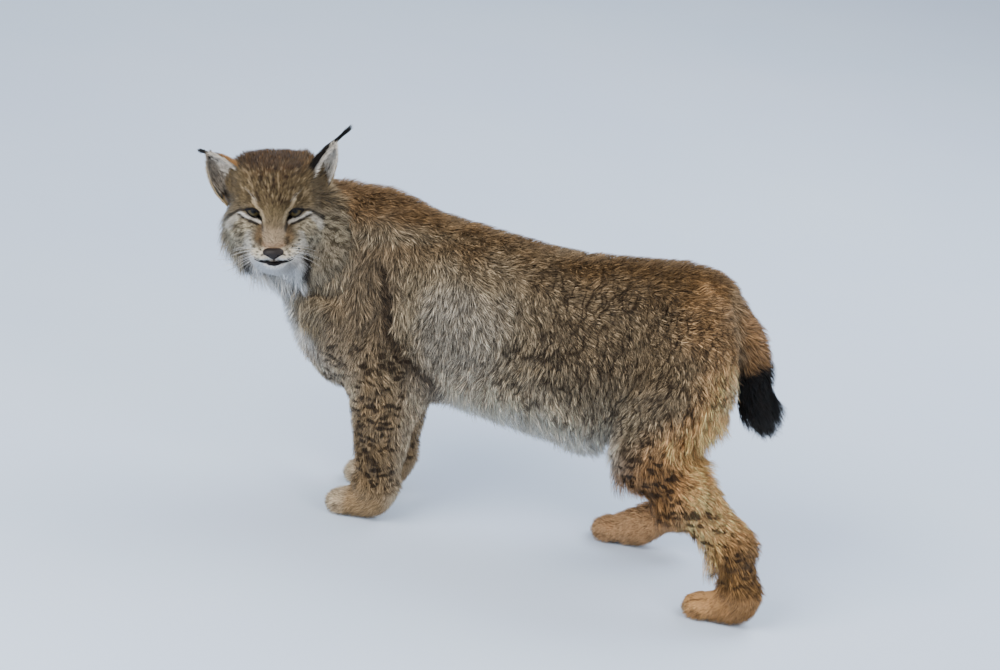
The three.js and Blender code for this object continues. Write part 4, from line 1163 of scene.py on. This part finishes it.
def paths_of(roots, where, rings, seed):
    """The way of each tuft from its root to its tip."""
    count = len(roots["place"])
    draw = np.random.default_rng(seed)
    place, out = roots["place"], roots["out"]
    x, y, z = place.T
    gap, way, number = locks(place)
    gap *= 0.3 + 0.6 * smooth(-60, 120, x)
    gap = np.maximum(gap * (1 - where["head"]), elbow(place))
    wave = ripple(place, 95, 3) * 0.4 + ripple(place * (1, 1, 0.6), 36, 4) * 0.42 + (number - 0.5) * 0.5
    wave = wave * (1 - 0.8 * where["face"]) * (1 - 0.5 * where["paw"])
    lie = lie_of(place, where)
    lie = unit(lie - out * (lie * out).sum(1, keepdims=True))
    turn = (wave + draw.normal(0, 0.17, count))[:, None]
    side = np.cross(out, lie)
    lie = unit(lie * np.cos(turn) + side * np.sin(turn))
    side = np.cross(lie, out)
    low = 1 - 0.5 * gap
    guard = 1.18 if rings > 2 else 1.0
    length = by_region(LENGTH, where, count) * draw.uniform(0.7, 1.12, count) * guard * (0.6 + 0.4 * low)
    rise = by_region(DEPTH, where, count) * (1.0 + 0.3 * number + draw.normal(0, 0.1, count)) * low
    rise *= (1 + 0.9 * where["temple"] + 0.5 * where["cheek"] + 2.2 * where["knee_rear"]
             + 0.9 * where["breast"])
    rise += (by_region(DEPTH, where, count) * 1.9 * draw.uniform(0.85, 1.05, count) - rise) * where["spine"]
    rise += 5 * where["chin"]
    length += 15 * where["chin"]
    lip = smooth(26, 8, to_line(over_face(where["head_place"]), MOUTH)) * where["face"]
    rise *= 1 - 0.45 * lip
    length *= 1 - 0.45 * lip
    black = where["tail"] * smooth(400, 370, z)
    gather = (by_region(CLUMP, where, count) * (1 - black))[:, None] * way
    gather -= out * (gather * out).sum(1, keepdims=True)
    length += (20 * black + 16 * where["ruff"] * smooth(-60, -90, where["head_place"][:, 2])
               + 8 * where["breast"])
    shank = where["hind"] * smooth(0, -40, y) * smooth(250, 215, z) * smooth(90, 120, z)
    shank *= smooth(0.2, 0.8, -out[:, 0])
    rise *= 1 + 1.7 * shank
    rise += 12 * shank * smooth(-0.2, -0.6, out[:, 2])
    length += 8 * shank + 14 * shank * smooth(-0.2, -0.6, out[:, 2])
    hang = 10 * where["belly"] + 9 * where["ruff"] + 3 * where["thigh_rear"] + 6 * black
    path = np.empty((count, rings, 3))
    for ring, t in enumerate(np.linspace(0, 1, rings)):
        up = 1 - (1 - t) ** 1.8
        path[:, ring] = place + lie * (length * (t - 0.16 * t * (1 - t)))[:, None]
        path[:, ring] += out * (rise * up - ROOT_DEPTH * (1 - t))[:, None] + gather * t ** 1.4
        path[:, ring, 2] -= hang * t * t
        path[:, ring, 0] += 13 * black * t * t
    path[:, :, 2] = np.maximum(path[:, :, 2], 0.6)
    return path, side, number

# %% The colours of each tuft
DARK_SHARE = 0.36  # of the tufts are dark ones


def tuft_colours(roots, where, rings, number, seed):
    """Dark at the root, lighter towards the tip, and no two tufts alike."""
    count = len(roots["place"])
    draw = np.random.default_rng(seed)
    base = coat_colour(roots["place"], where)
    calm = smooth(0.3, 0.75, base.mean(1))  # pale fur is less mottled
    own = np.exp(draw.normal(0, 0.2, count) + (number - 0.5) * 0.3)
    dark = draw.random(count) < DARK_SHARE
    own *= np.where(dark, 0.34 + 0.48 * calm, 1.32 - 0.1 * calm)
    shades = np.empty((count, rings, 3))
    for ring, t in enumerate(np.linspace(0, 1, rings)):
        light = 0.55 + (0.65 - 0.1 * where["spine"]) * smooth(0, 0.8, t)
        shades[:, ring] = base * (own * light)[:, None]
    return np.clip(shades, 0, 1)

# %% Tufts into pieces
PIECE_TRIANGLES = 180000  # at most, in a piece


def grow(name, chosen, rings, material):
    """Makes the chosen tufts into pieces that each stay under the piece's limit."""
    triangles = len(chosen) * triangles_of(rings)
    parts = max(1, math.ceil(triangles / PIECE_TRIANGLES))
    for part, own in enumerate(np.array_split(chosen, parts)):
        picked = {key: value[own] for key, value in roots.items()}
        where = regions(picked["place"])
        path, side, number = paths_of(picked, where, rings, 50 + part)
        colours = tuft_colours(picked, where, rings, number, 70 + part)
        marks = shade_lines_and_spots(picked["place"], where)
        width = by_region(WIDTH, where, len(own))
        piece = tuft_mesh(f"{name}_{part + 1}", path, side, picked["out"], width, colours, picked["uv"])
        paint(piece, np.repeat(marks, 3 * rings - 2, axis=0), "shade_lines_and_spots")
        piece.data.materials.append(material)
        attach(piece, "root")
    print(name, len(chosen), "tufts,", triangles, "triangles,", parts, "pieces")

# %% [markdown]
# ### Painted shade between the locks
# Winter fur parts into locks, and the gaps between them, where shade falls on the darker undercoat, are
# the darkest thing on the flank. They are far finer than a tuft is long, so the material paints them:
# the edges of stretched cells make wavy lines of painted shade, and small cells make the spots of the
# legs. Skin and tufts use one node group, and an attribute says how plain the painted shade lines and the
# spots are at each place.

# %% A node group for skin and tufts
def math_in(tree, operation, *values):
    node = node_in(tree, "ShaderNodeMath", operation=operation)
    for socket, value in zip(node.inputs, values):
        if isinstance(value, (int, float)):
            socket.default_value = value
        else:
            tree.links.new(value, socket)
    return node.outputs["Value"]


def ramp_in(tree, value, low, high):
    """0 at low and 1 at high, and smooth between them."""
    node = node_in(tree, "ShaderNodeMapRange", interpolation_type="SMOOTHSTEP")
    tree.links.new(value, node.inputs["Value"])
    set_inputs(node, {"From Min": min(low, high), "From Max": max(low, high),
                      "To Min": float(low > high), "To Max": float(low < high)})
    return node.outputs["Result"]


def cells_in(tree, place, sizes, feature):
    """Cells of the given sizes in metres along x, y and z."""
    across = [1 / size for size in sizes]
    scaled = node_in(tree, "ShaderNodeVectorMath", {1: across}, operation="MULTIPLY")
    cells = node_in(tree, "ShaderNodeTexVoronoi", {"Scale": 1}, feature=feature)
    tree.links.new(place, scaled.inputs[0])
    connect(tree, (scaled, "Vector", cells, "Vector"))
    return cells.outputs["Distance"]


# Sizes in metres along x, y and z
UPRIGHT_LOCK = (0.0155, 0.0155, 0.064)
LEVEL_LOCK = (0.052, 0.014, 0.014)
SPOT_CELL = (0.022, 0.022, 0.0108)
WAVE = 0.036  # how far the lines are pushed about


def coat_shade_and_spots():
    group, given, result = new_group(
        "CoatShadeAndSpots",
        [("Color", "NodeSocketColor", (0.5, 0.4, 0.3, 1)), ("Upright", "NodeSocketFloat", 0.0),
         ("Level", "NodeSocketFloat", 0.0), ("Spots", "NodeSocketFloat", 0.0)],
        [("Color", "NodeSocketColor")])
    at = node_in(group, "ShaderNodeTexCoord")
    noise = node_in(group, "ShaderNodeTexNoise", {"Scale": 22, "Detail": 2})
    centred = node_in(group, "ShaderNodeVectorMath", {1: (0.5,) * 3}, operation="SUBTRACT")
    waved = node_in(group, "ShaderNodeVectorMath", {1: (WAVE,) * 3}, operation="MULTIPLY_ADD")
    connect(group, (at, "Object", noise, "Vector"), (noise, "Color", centred, 0),
            (centred, "Vector", waved, 0), (at, "Object", waved, 2))
    place = waved.outputs["Vector"]
    upright = ramp_in(group, cells_in(group, place, UPRIGHT_LOCK, "DISTANCE_TO_EDGE"), 0.16, 0.0)
    level = ramp_in(group, cells_in(group, place, LEVEL_LOCK, "DISTANCE_TO_EDGE"), 0.15, 0.0)
    spots = ramp_in(group, cells_in(group, place, SPOT_CELL, "F1"), 0.5, 0.28)
    patchy = ramp_in(group, noise.outputs["Fac"], 0.32, 0.52)
    # painted shade lines between upright and level locks, made patchy by the noise
    lines = math_in(group, "MULTIPLY_ADD", upright, given.outputs["Upright"],
                    math_in(group, "MULTIPLY", level, given.outputs["Level"]))
    lines = math_in(group, "MULTIPLY", lines, math_in(group, "MULTIPLY_ADD", patchy, 0.75, 0.25))
    dark = math_in(group, "MULTIPLY_ADD", spots, given.outputs["Spots"], lines)
    dark = math_in(group, "MINIMUM", math_in(group, "MULTIPLY", dark, 0.95), 0.88)
    # the painted shade and the leg spots both darken the colour towards a dark brown
    mix = node_in(group, "ShaderNodeMix", {"B": (*SPOT_AND_SHADE * 0.65, 1)}, data_type="RGBA")
    group.links.new(dark, mix.inputs["Factor"])
    connect(group, (given, "Color", mix, "A"), (mix, "Result", result, "Color"))
    return group

# %% Materials of the coat
def coat_material(name, roughness, sheen, bump):
    material, tree, shader = shaded_material(name, {
        "Roughness": roughness, "Specular IOR Level": 0.18, "Sheen Weight": sheen, "Sheen Roughness": 0.4})
    colour = node_in(tree, "ShaderNodeAttribute", attribute_name="coat")
    marks = node_in(tree, "ShaderNodeAttribute", attribute_name="shade_lines_and_spots")
    parts = node_in(tree, "ShaderNodeSeparateColor")
    lines = node_in(tree, "ShaderNodeGroup", node_tree=COAT_SHADE_AND_SPOTS)
    connect(tree, (marks, "Color", parts, "Color"), (colour, "Color", lines, "Color"),
            (parts, "Red", lines, "Upright"), (parts, "Green", lines, "Level"),
            (parts, "Blue", lines, "Spots"), (lines, "Color", shader, "Base Color"))
    if bump:
        at = node_in(tree, "ShaderNodeTexCoord")
        noise = node_in(tree, "ShaderNodeTexNoise", {"Scale": 600})
        height = node_in(tree, "ShaderNodeBump", {"Strength": bump, "Distance": 0.001})
        connect(tree, (at, "Object", noise, "Vector"), (noise, "Fac", height, "Height"),
                (height, "Normal", shader, "Normal"))
    return material


COAT_SHADE_AND_SPOTS = coat_shade_and_spots()
fur = coat_material("fur", 0.7, 0.04, 0)
hide = coat_material("hide", 0.8, 0.0, 0.5)
skin.data.materials.append(hide)
print("materials of the coat:", fur.name, "and", hide.name)

# %% Grow the coat
root_where = regions(roots["place"])
along = np.argsort(roots["place"][:, 0], kind="stable")
fine = (root_where["face"] > 0.35) | (root_where["paw"] > 0.5)
limb = root_where["fore"] + root_where["hind"] > 0.5
guard = np.random.default_rng(8).random(len(along)) < 0.1
hanging = root_where["belly"] + root_where["ruff"] > 0.9
guard |= hanging & (np.random.default_rng(9).random(len(along)) < 0.45)
guard &= ~fine
grow("coat_fine", along[fine[along]], 2, fur)
grow("coat_limbs", along[(limb & ~fine & ~guard)[along]], 2, fur)
grow("coat_body", along[(~limb & ~fine & ~guard)[along]], 2, fur)
grow("coat_guard", along[guard[along]], 3, fur)

# %% [markdown]
# ## Eyes
# Each eyeball stays a piece of its own and sits where its solid sits. It starts as a sphere with its
# pole along the line of sight, and the points round the pole are drawn out a little as the cornea.
# Pupil, iris and the dark ring round it are rings of the angle off that line.

# %% Eyeballs
LINE_OF_SIGHT = unit([-0.02, 1.0, 0.2]) @ HEAD_AXES
CORNEA_HALF_ANGLE = math.radians(40)
CORNEA_RISE = 0.09  # of the radius
# Pupil, iris and dark edge: 0.7 of the angle off the line of sight, and a colour
EYE_RINGS = [(0.0, BLACK * 0.4), (0.24, BLACK * 0.4), (0.27, linear(36, 29, 17)), (0.42, linear(70, 61, 38)),
             (0.66, linear(54, 47, 31)), (0.8, linear(28, 23, 17)), (0.9, linear(16, 13, 11))]


def eyeball(node):
    centre = centre_of(node)
    turn = Vector(LINE_OF_SIGHT).to_track_quat("Z", "Y").to_euler()
    deselect()
    bpy.ops.mesh.primitive_uv_sphere_add(
        segments=48, ring_count=40, radius=EYE_RADIUS * MM, location=centre, rotation=turn)
    ball = bpy.context.object
    bpy.ops.object.transform_apply(location=True, rotation=True, scale=True)
    bpy.ops.object.shade_smooth()
    ball.name = node + "_ball"
    middle = from_frame(centre)
    off = points_of(ball) - middle
    angle = np.arccos(np.clip(unit(off) @ LINE_OF_SIGHT, -1, 1))
    rise = CORNEA_RISE * smooth(CORNEA_HALF_ANGLE, 0, angle)
    move_points(ball, middle + off * (1 + rise)[:, None])
    ball.data.materials.append(eye_material(node, centre))
    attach(ball, "root")
    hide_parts(node)
    return ball


def eye_material(name, centre):
    material, tree, shader = shaded_material("iris_" + name, {
        "Roughness": 0.35, "Specular IOR Level": 0.1, "Coat Weight": 0.14, "Coat Roughness": 0.03})
    at = node_in(tree, "ShaderNodeTexCoord")
    mapping = node_in(tree, "ShaderNodeMapping", {"Location": -Vector(centre)}, vector_type="POINT")
    way = node_in(tree, "ShaderNodeVectorMath", operation="NORMALIZE")
    dot = node_in(tree, "ShaderNodeVectorMath", {1: LINE_OF_SIGHT}, operation="DOT_PRODUCT")
    angle = node_in(tree, "ShaderNodeMath", operation="ARCCOSINE")
    scaled = node_in(tree, "ShaderNodeMath", {1: 0.7}, operation="MULTIPLY")
    rings = node_in(tree, "ShaderNodeValToRGB")
    noise = node_in(tree, "ShaderNodeTexNoise", {"Scale": 420})
    uneven = node_in(tree, "ShaderNodeMath", {1: 0.07}, operation="MULTIPLY_ADD")
    connect(tree, (at, "Object", mapping, "Vector"), (mapping, "Vector", way, 0), (way, "Vector", dot, 0),
            (dot, "Value", angle, 0), (at, "Object", noise, "Vector"), (noise, "Fac", uneven, 0),
            (angle, "Value", scaled, 0), (scaled, "Value", uneven, 2), (uneven, "Value", rings, "Fac"),
            (rings, "Color", shader, "Base Color"))
    ramp = rings.color_ramp
    while len(ramp.elements) < len(EYE_RINGS):
        ramp.elements.new(0.5)
    for element, (position, colour) in zip(ramp.elements, EYE_RINGS):
        element.position = position
        element.color = (*colour, 1)
    return material


balls = [eyeball(node) for node in ("eye_right", "eye_left")]
print("eyeballs:", [ball.name for ball in balls])

# %% [markdown]
# ## Rims of the lids, lips and nose
# The wet dark edges are thin tapered tubes along the same lines that shaped the skin. The nose
# is a copy of its solid, remeshed finely and smoothed, with a nostril pushed in on each side and
# a pebbled leather on it.

# %% Tubes along lines
def tube(name, lines, radii, sides, closed=False):
    """One mesh of tubes. Each line is points in millimetres with a radius for each point."""
    points, faces = [], []
    for line, radius in zip(lines, radii):
        line, radius = np.asarray(line, float), np.asarray(radius, float)
        count = len(line)
        before = np.roll(line, 1, 0) if closed else line[np.maximum(np.arange(count) - 1, 0)]
        after = np.roll(line, -1, 0) if closed else line[np.minimum(np.arange(count) + 1, count - 1)]
        along = unit(after - before)
        side = unit(np.cross(along, FORWARD + 0.2 * UP))
        up = np.cross(side, along)
        turn = np.arange(sides) / sides * 2 * math.pi
        ring = np.cos(turn)[None, :, None] * side[:, None] + np.sin(turn)[None, :, None] * up[:, None]
        start = len(points)
        points.extend((line[:, None] + ring * radius[:, None, None]).reshape(-1, 3))
        for i in range(count if closed else count - 1):
            for j in range(sides):
                a, b = start + i * sides + j, start + i * sides + (j + 1) % sides
                c, d = start + (i + 1) % count * sides + (j + 1) % sides, start + (i + 1) % count * sides + j
                faces.append((a, b, c, d))
        if not closed:
            faces.append(tuple(start + j for j in reversed(range(sides))))
            faces.append(tuple(start + (count - 1) * sides + j for j in range(sides)))
    piece = piece_from(name, mesh_from(name, points, faces))
    face_outward(piece)
    bpy.ops.object.shade_smooth()
    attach(piece, "root")
    return piece


def front_of_skin(flat):
    """How far forward the skin of the head reaches, at places across and up."""
    forward = np.full(len(flat), 135.0)  # in front of the nose
    for _ in range(300):  # back by half a millimetre, until it meets the skin
        at = np.stack([flat[:, 0], forward, flat[:, 1]], 1)
        forward -= 0.5 * (head_form(at) + DEPTH["face"] > 0)
    return forward


wet = uneven_material("wet_skin", WET, WET_DARK, 300, 0.6, 0.15)
for name, side in (("right", 1), ("left", -1)):
    almond = np.concatenate([
        curve_through(INNER_CORNER, LOWER_LID, OUTER_CORNER, 20)[:-1],
        curve_through(OUTER_CORNER, UPPER_LID, INNER_CORNER, 20)[:-1],
    ])
    line = np.stack([side * almond[:, 0], ball_front(almond) + 0.9, almond[:, 1]], 1)
    # the upper rim is thick partly as a dark stand-in for the shade the upper lid casts on the eye
    thick = np.where(np.arange(len(line)) < 19, 1.2, 2.2)  # the upper lid has the heavier edge
    rim = tube("lid_rim_" + name, [from_head(line)], [thick], 8, closed=True)
    rim.data.materials.append(wet)

mouth = np.concatenate([MOUTH[:0:-1] * (-1, 1), MOUTH])
across = np.abs(mouth[:, 0])
forward = front_of_skin(mouth) + 1.5 + 1.5 * smooth(10, 20, across)
line = np.stack([mouth[:, 0], forward, mouth[:, 1] - 0.4], 1)
thick = np.interp(across, [0, 8, 14, 23, 32, 38], [2.8, 2.6, 2.0, 2.4, 2.2, 1.2])
lips = tube("lips", [from_head(line)], [thick], 8)
lips.data.materials.append(wet)
print("lips from", len(mouth), "points")

# %% Nose
NOSE_DROP = 5.5  # the leather sits this much lower than its solid
NOSTRIL = [(6.5, -54), (9.5, -54.5), (12.5, -51.5)]  # a comma, as places across and up
NOSTRIL_DEPTH = 4.5

nose = copies_of(["nose"], "nose_pad")
places = to_head(points_of(nose)) - (0, 0, NOSE_DROP)
taper = np.interp(places[:, 2], [-61, -50, -44], [0.6, 0.98, 1.08])  # wide above and narrow below
places[:, 0] *= taper
move_points(nose, from_head(places))
nose.data.remesh_voxel_size = 0.8 * MM
bpy.ops.object.voxel_remesh()
apply_modifier(nose, "SMOOTH", factor=0.5, iterations=3)
places = to_head(points_of(nose))
nostril = stroke(over_face(places), NOSTRIL, 3.2) * (places[:, 1] > 112)
move_points(nose, from_head(places - np.outer(nostril, (0, NOSTRIL_DEPTH, 0))))
bpy.ops.object.shade_smooth()
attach(nose, "root")
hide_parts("nose")
print("nose faces:", len(nose.data.polygons))


def nose_material():
    material = uneven_material("nose_leather", LEATHER, LEATHER_PALE, 130, 0.55, 0.3)
    tree = material.node_tree
    at = node_in(tree, "ShaderNodeTexCoord")
    pebbles = node_in(tree, "ShaderNodeTexVoronoi", {"Scale": 950})
    bump = node_in(tree, "ShaderNodeBump", {"Strength": 0.35, "Distance": 0.0003})
    connect(tree, (at, "Object", pebbles, "Vector"), (pebbles, "Distance", bump, "Height"),
            (bump, "Normal", tree.nodes["Principled BSDF"], "Normal"))
    return material


nose.data.materials.append(nose_material())

# %% [markdown]
# ## Ears
# An ear is a cup that is open in front, on an axis from its base to its tip. The shell is drawn
# as rings from the outer side round to the inner side. Its back is short black and grey fur, pale
# long hair crosses its mouth, and a tuft of long black hair stands on its tip.

# %% The form of an ear
EARS = {
    "right": {"base": (65, -2, 23), "tip": (115, -8, 92), "faces": (0.25, 0.95, 0.1), "tuft": (137, -34, 89),
              "wide": 1.05},
    "left": {"base": (-67, -2, 32), "tip": (-102, -8, 109), "faces": (-0.68, 0.72, 0.1),
             "tuft": (-133, -26, 137), "wide": 0.86},
}
EAR_STATIONS = np.array([  # along the ear, half width, depth
    (0.0, 33, 24), (0.2, 34, 25), (0.42, 31, 22), (0.6, 26, 18), (0.74, 20, 13), (0.84, 13, 9), (0.91, 5, 4)])
EAR_WRAP = math.radians(104)
EAR_SKIN = 1.3  # the coat's depth on the ear's back
EAR_WALL = 2.6
EAR_END = 0.89


def ear_axes(ear):
    base, tip = np.array(ear["base"], float), np.array(ear["tip"], float)
    axis = tip - base
    side = unit(np.cross(ear["faces"], axis))
    return base, axis, side, unit(np.cross(axis, side))


def ear_place(ear, along, turn, inset):
    """Places on the ear: turn is the angle from the middle of its back, and inset goes inwards."""
    base, axis, side, front = ear_axes(ear)
    half = np.interp(along, EAR_STATIONS[:, 0], EAR_STATIONS[:, 1]) * ear["wide"] - inset
    depth = np.interp(along, EAR_STATIONS[:, 0], EAR_STATIONS[:, 2]) - inset
    return (base + along[..., None] * axis + (np.maximum(half, 0.8) * np.sin(turn))[..., None] * side
            - (np.maximum(depth, 0.8) * np.cos(turn))[..., None] * front)


def ear_shell(name, ear):
    along = np.linspace(-0.12, EAR_END, 26)
    turns = np.linspace(-EAR_WRAP, EAR_WRAP, 21)
    wall = np.interp(along, [0, 1], [EAR_WALL, 1.2])
    grid_along, grid_turn = np.meshgrid(along, turns, indexing="ij")
    outer = ear_place(ear, grid_along, grid_turn, EAR_SKIN)
    inner = ear_place(ear, grid_along, grid_turn, EAR_SKIN + wall[:, None])[:, ::-1]
    rings = np.concatenate([outer, inner], 1)
    rows, each = rings.shape[:2]
    faces = [(r * each + i, r * each + (i + 1) % each, (r + 1) * each + (i + 1) % each, (r + 1) * each + i)
             for r in range(rows - 1) for i in range(each)]
    for row in (0, rows - 1):
        start = row * each
        faces += [(start + i, start + i + 1, start + each - 2 - i, start + each - 1 - i)
                  for i in range(each // 2 - 1)]
    mesh = mesh_from("ear_skin_" + name, from_head(rings.reshape(-1, 3)), faces)
    piece = piece_from("ear_skin_" + name, mesh)
    face_outward(piece)
    apply_modifier(piece, "SUBSURF", levels=1, render_levels=1)
    bpy.ops.object.shade_smooth()
    return piece

# %% The ear's colours
def ear_colour(along, turn, inner, name):
    """Back of the ear: black round a grey patch, with tan edges. Inside: dark, with painted shade deepest at
    the base of the cup, and pale hair over it.
    """
    edge = turn / EAR_WRAP * (1 if name == "left" else -1)  # 1 at the edge towards the crown
    colour = np.tile(BROWN_BLACK, (len(along), 1))
    patch = smooth(0.5, 0.25, np.abs(edge)) * smooth(0.72, 0.5, along) * smooth(0.08, 0.2, along)
    colour = blend(colour, patch * 0.8, GREY)
    colour = blend(colour, smooth(0.3, 0.1, along), TAN)
    colour = blend(colour, smooth(-0.6, -0.8, edge) * smooth(0.9, 0.75, along), BUFF)
    if name == "right":
        colour = blend(colour, smooth(0.5, 0.75, edge) * smooth(0.9, 0.75, along), TAN)
    pale = np.tile(EAR_INSIDE, (len(along), 1))
    pale = blend(pale, smooth(0.55, 0.85, np.abs(edge)) * 0.8, PALE)
    pale = blend(pale, smooth(0.78, 0.92, edge) * smooth(0.9, 0.7, along) * 0.8, TAN)
    # painted shade at the base of the ear's cup
    pale = blend(pale, smooth(0.42, 0.26, along) * smooth(0.7, 0.4, np.abs(edge)) * 0.9, BROWN_BLACK)
    pale = blend(pale, smooth(0.86, 0.9, along) * 0.8, BROWN_BLACK)
    return blend(colour, inner, pale)

# %% Hair on the ears
# Along: from and to, as a share of the ear. Round: how far from the middle of its back.
# Inset: how deep it starts. Lean: how far it leans inwards and forwards. Light: at root and tip.
EAR_HAIR = {
    "back": {"count": 3600, "along": (-0.05, 0.97), "round": 0.99, "inset": EAR_SKIN, "length": 6.5,
             "width": 1.3, "rise": 2.0, "rings": 2, "lean": (0, 0), "light": (0.6, 1.1)},
    "edge": {"count": 900, "along": (0.02, 0.97), "round": 0.999, "inset": EAR_SKIN + 0.8, "length": 8.0,
             "width": 1.1, "rise": 2.0, "rings": 2, "lean": (0, 0.35), "light": (0.7, 1.1)},
    "lining": {"count": 1300, "along": (0.05, 0.86), "round": 0.98, "inset": EAR_SKIN + EAR_WALL,
               "length": 19.0, "width": 1.2, "rise": 7.0, "rings": 3, "lean": (0.5, 0.5),
               "light": (0.6, 1.05)},
}
TIP_HAIRS = 220
TIP_RINGS = 5


def strands(name, path, lie, out, width, shades, uv):
    width = np.full(len(path), width)
    piece = tuft_mesh(name, path, unit(np.cross(lie, out)), out, width, shades, uv)
    piece.data.materials.append(fur)
    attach(piece, "root")


def laid(place, lie, out, length, rise, rings):
    """Paths that start at places, run along their lie and rise out of the surface."""
    path = np.empty((len(place), rings, 3))
    for ring, t in enumerate(np.linspace(0, 1, rings)):
        up = rise * (1 - (1 - t) ** 1.6) - 0.5 * (1 - t)
        path[:, ring] = place + lie * (length * t)[:, None] + out * up
    return path


def shades_of(base, own, rings, root_light, tip_light):
    light = np.linspace(root_light, tip_light, rings)[None, :, None]
    return np.clip(base[:, None] * own[:, None, None] * light, 0, 1)


def to_world(ways):
    return ways @ HEAD_AXES

# %% The skin of an ear
def ear_skin(name, ear):
    """The ear's shell with its colours, as a coat piece."""
    piece = ear_shell(name, ear)
    base, axis, side, front = ear_axes(ear)
    off = to_head(points_of(piece)) - base
    along = off @ axis / (axis @ axis)
    sideways = off @ side / np.interp(along, EAR_STATIONS[:, 0], EAR_STATIONS[:, 1]) / ear["wide"]
    frontways = -(off @ front) / np.interp(along, EAR_STATIONS[:, 0], EAR_STATIONS[:, 2])
    turn = np.arctan2(sideways, frontways)
    inner = (np.hypot(sideways, frontways) < 0.88).astype(float)
    paint(piece, ear_colour(along, turn, inner, name) * 0.8)
    piece.data.materials.append(hide)
    unwrap(piece)
    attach(piece, "root")
    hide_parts("ear_" + name)

# %% Hair on its back, round its edge and inside it
def ear_hair(name, ear, label, hair, draw):
    """One kind of hair on the ear: on its back, round its edge or inside it."""
    _, axis, side, front = ear_axes(ear)
    count = hair["count"]
    inside = hair["inset"] > EAR_SKIN + 1
    along = draw.uniform(*hair["along"], count)
    turn = draw.uniform(-hair["round"], hair["round"], count) * EAR_WRAP
    place = ear_place(ear, along, turn, np.full(count, hair["inset"]))
    out = -np.cos(turn)[:, None] * front + np.sin(turn)[:, None] * side
    out = -out if inside else out
    inwards, forwards = hair["lean"]
    lean = -np.sign(turn)[:, None] * side * inwards + front * forwards
    lie = unit(unit(axis) + lean + draw.normal(0, 0.12, (count, 3)))
    lie = unit(lie - out * (lie * out).sum(1, keepdims=True))
    own = np.exp(draw.normal(0, 0.2, count))
    shade = np.tile(PALE, (count, 1)) if inside else ear_colour(along, turn, np.zeros(count), name)
    # painted shade on the pale lining hair: over the outer side of the right ear's cup, and at the base of
    # both cups
    crown_side = turn / EAR_WRAP * (1 if name == "left" else -1)
    shady = smooth(0.25, -0.35, crown_side) * (0.75 if name == "right" else 0.0)
    shady = np.maximum(shady, smooth(0.3, 0.15, along) * smooth(0.6, 0.3, np.abs(crown_side)))
    shade = blend(shade, inside * shady, EAR_PAINTED_SHADE)
    shade = blend(shade, inside * smooth(0.84, 0.9, along), BROWN_BLACK)
    out, lie = to_world(out), to_world(lie)
    size = hair["length"] * draw.uniform(0.75, 1.15, count)
    path = laid(from_head(place), lie, out, size, hair["rise"], hair["rings"])
    uv = np.stack([0.5 + 0.4 * turn / EAR_WRAP, np.clip(along, 0, 1)], 1)
    shades = shades_of(shade, own, hair["rings"], *hair["light"])
    strands(f"ear_{label}_{name}", path, lie, out, hair["width"], shades, uv)

# %% The tuft on its tip
def ear_tuft(name, ear, draw):
    """The tuft of long black hair on the tip: each hair is a curve from the ear over its tip."""
    base, axis, _, front = ear_axes(ear)
    count = TIP_HAIRS
    tip, tuft = np.array(ear["tip"], float), np.array(ear["tuft"], float)
    up_ear = draw.uniform(0, 1, count)
    start = 0.72 + 0.18 * up_ear
    behind = np.interp(start, EAR_STATIONS[:, 0], EAR_STATIONS[:, 2])
    root = base + start[:, None] * axis - behind[:, None] * front
    root += draw.normal(0, 1, (count, 3)) * (3.6 * (1.1 - up_ear))[:, None]
    reach = draw.uniform(0.55, 1.0, count)[:, None]
    end = tip + (tuft - tip) * reach + draw.normal(0, 1.9, (count, 3))
    middle = tip + (tuft - tip) * 0.3 * reach + draw.normal(0, 1.2, (count, 3)) + unit(axis) * 5
    t = np.linspace(0, 1, TIP_RINGS)[None, :, None]
    path = (1 - t) ** 2 * root[:, None] + 2 * t * (1 - t) * middle[:, None] + t * t * end[:, None]
    path = from_head(path.reshape(-1, 3)).reshape(path.shape)
    way = unit(end - root)
    out = unit(np.cross(way, draw.normal(0, 1, (count, 3))))
    shades = shades_of(np.tile(BLACK, (count, 1)), np.ones(count), TIP_RINGS, 1, 1)
    uv = np.tile([0.5, 0.98], (count, 1))
    strands(f"ear_tuft_{name}", path, to_world(way), to_world(out), 1.5, shades, uv)

# %% Both ears
for name, form in EARS.items():
    ear_skin(name, form)
    draw = np.random.default_rng(5 if name == "right" else 6)
    for label, hair in EAR_HAIR.items():
        ear_hair(name, form, label, hair, draw)
    ear_tuft(name, form, draw)
print("ears:", len(EARS))

# %% Whiskers
def whisker(across, height, way, sag, length, thick, count):
    """Points of one hair and its radii, on the right side of the head. It sags as it goes out."""
    root = np.array([across, front_of_skin(np.array([[across, height]]))[0] - 1, height])
    t = np.linspace(0, 1, count)[:, None]
    line = root + unit(way) * length * t + np.array(sag) * length * t * t
    return line, thick * (1 - 0.85 * t[:, 0])


def whiskers():
    draw = np.random.default_rng(12)
    hairs = []
    for side in (1, -1):
        for row, height in enumerate((-43, -48, -53, -58)):
            for column in range(4):
                across = 17 + 5.0 * column + draw.uniform(-1, 1)
                up = height + draw.uniform(-1, 1)
                length = draw.uniform(38, 62) * (0.75 + 0.09 * column)
                way = [1.0, -0.1 - 0.12 * column, 0.02 - 0.16 * row]
                hairs.append((side, whisker(across, up, way, [-0.05, -0.2, -0.34], length, 0.42, 9)))
        for across, height, length in ((27, 24, 30), (32, 25, 34)):  # over the eye
            way = [0.35, 0.35, 1]
            hairs.append((side, whisker(across, height, way, [0.3, -0.35, -0.1], length, 0.2, 8)))
    lines = [from_head(line * (side, 1, 1)) for side, (line, _) in hairs]
    piece = tube("whiskers", lines, [radii for _, (_, radii) in hairs], 5)
    horn = uneven_material("whisker", HORN, HORN_DARK, 60, 0.4)
    piece.data.materials.append(horn)
    return len(hairs)


print("whiskers:", whiskers())

# %% Hide the solids of flesh, and attach the skin
for node in FLESH:
    if node not in ("nose", "eye_left", "eye_right"):  # these have pieces of their own
        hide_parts(node)
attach(skin, "root")
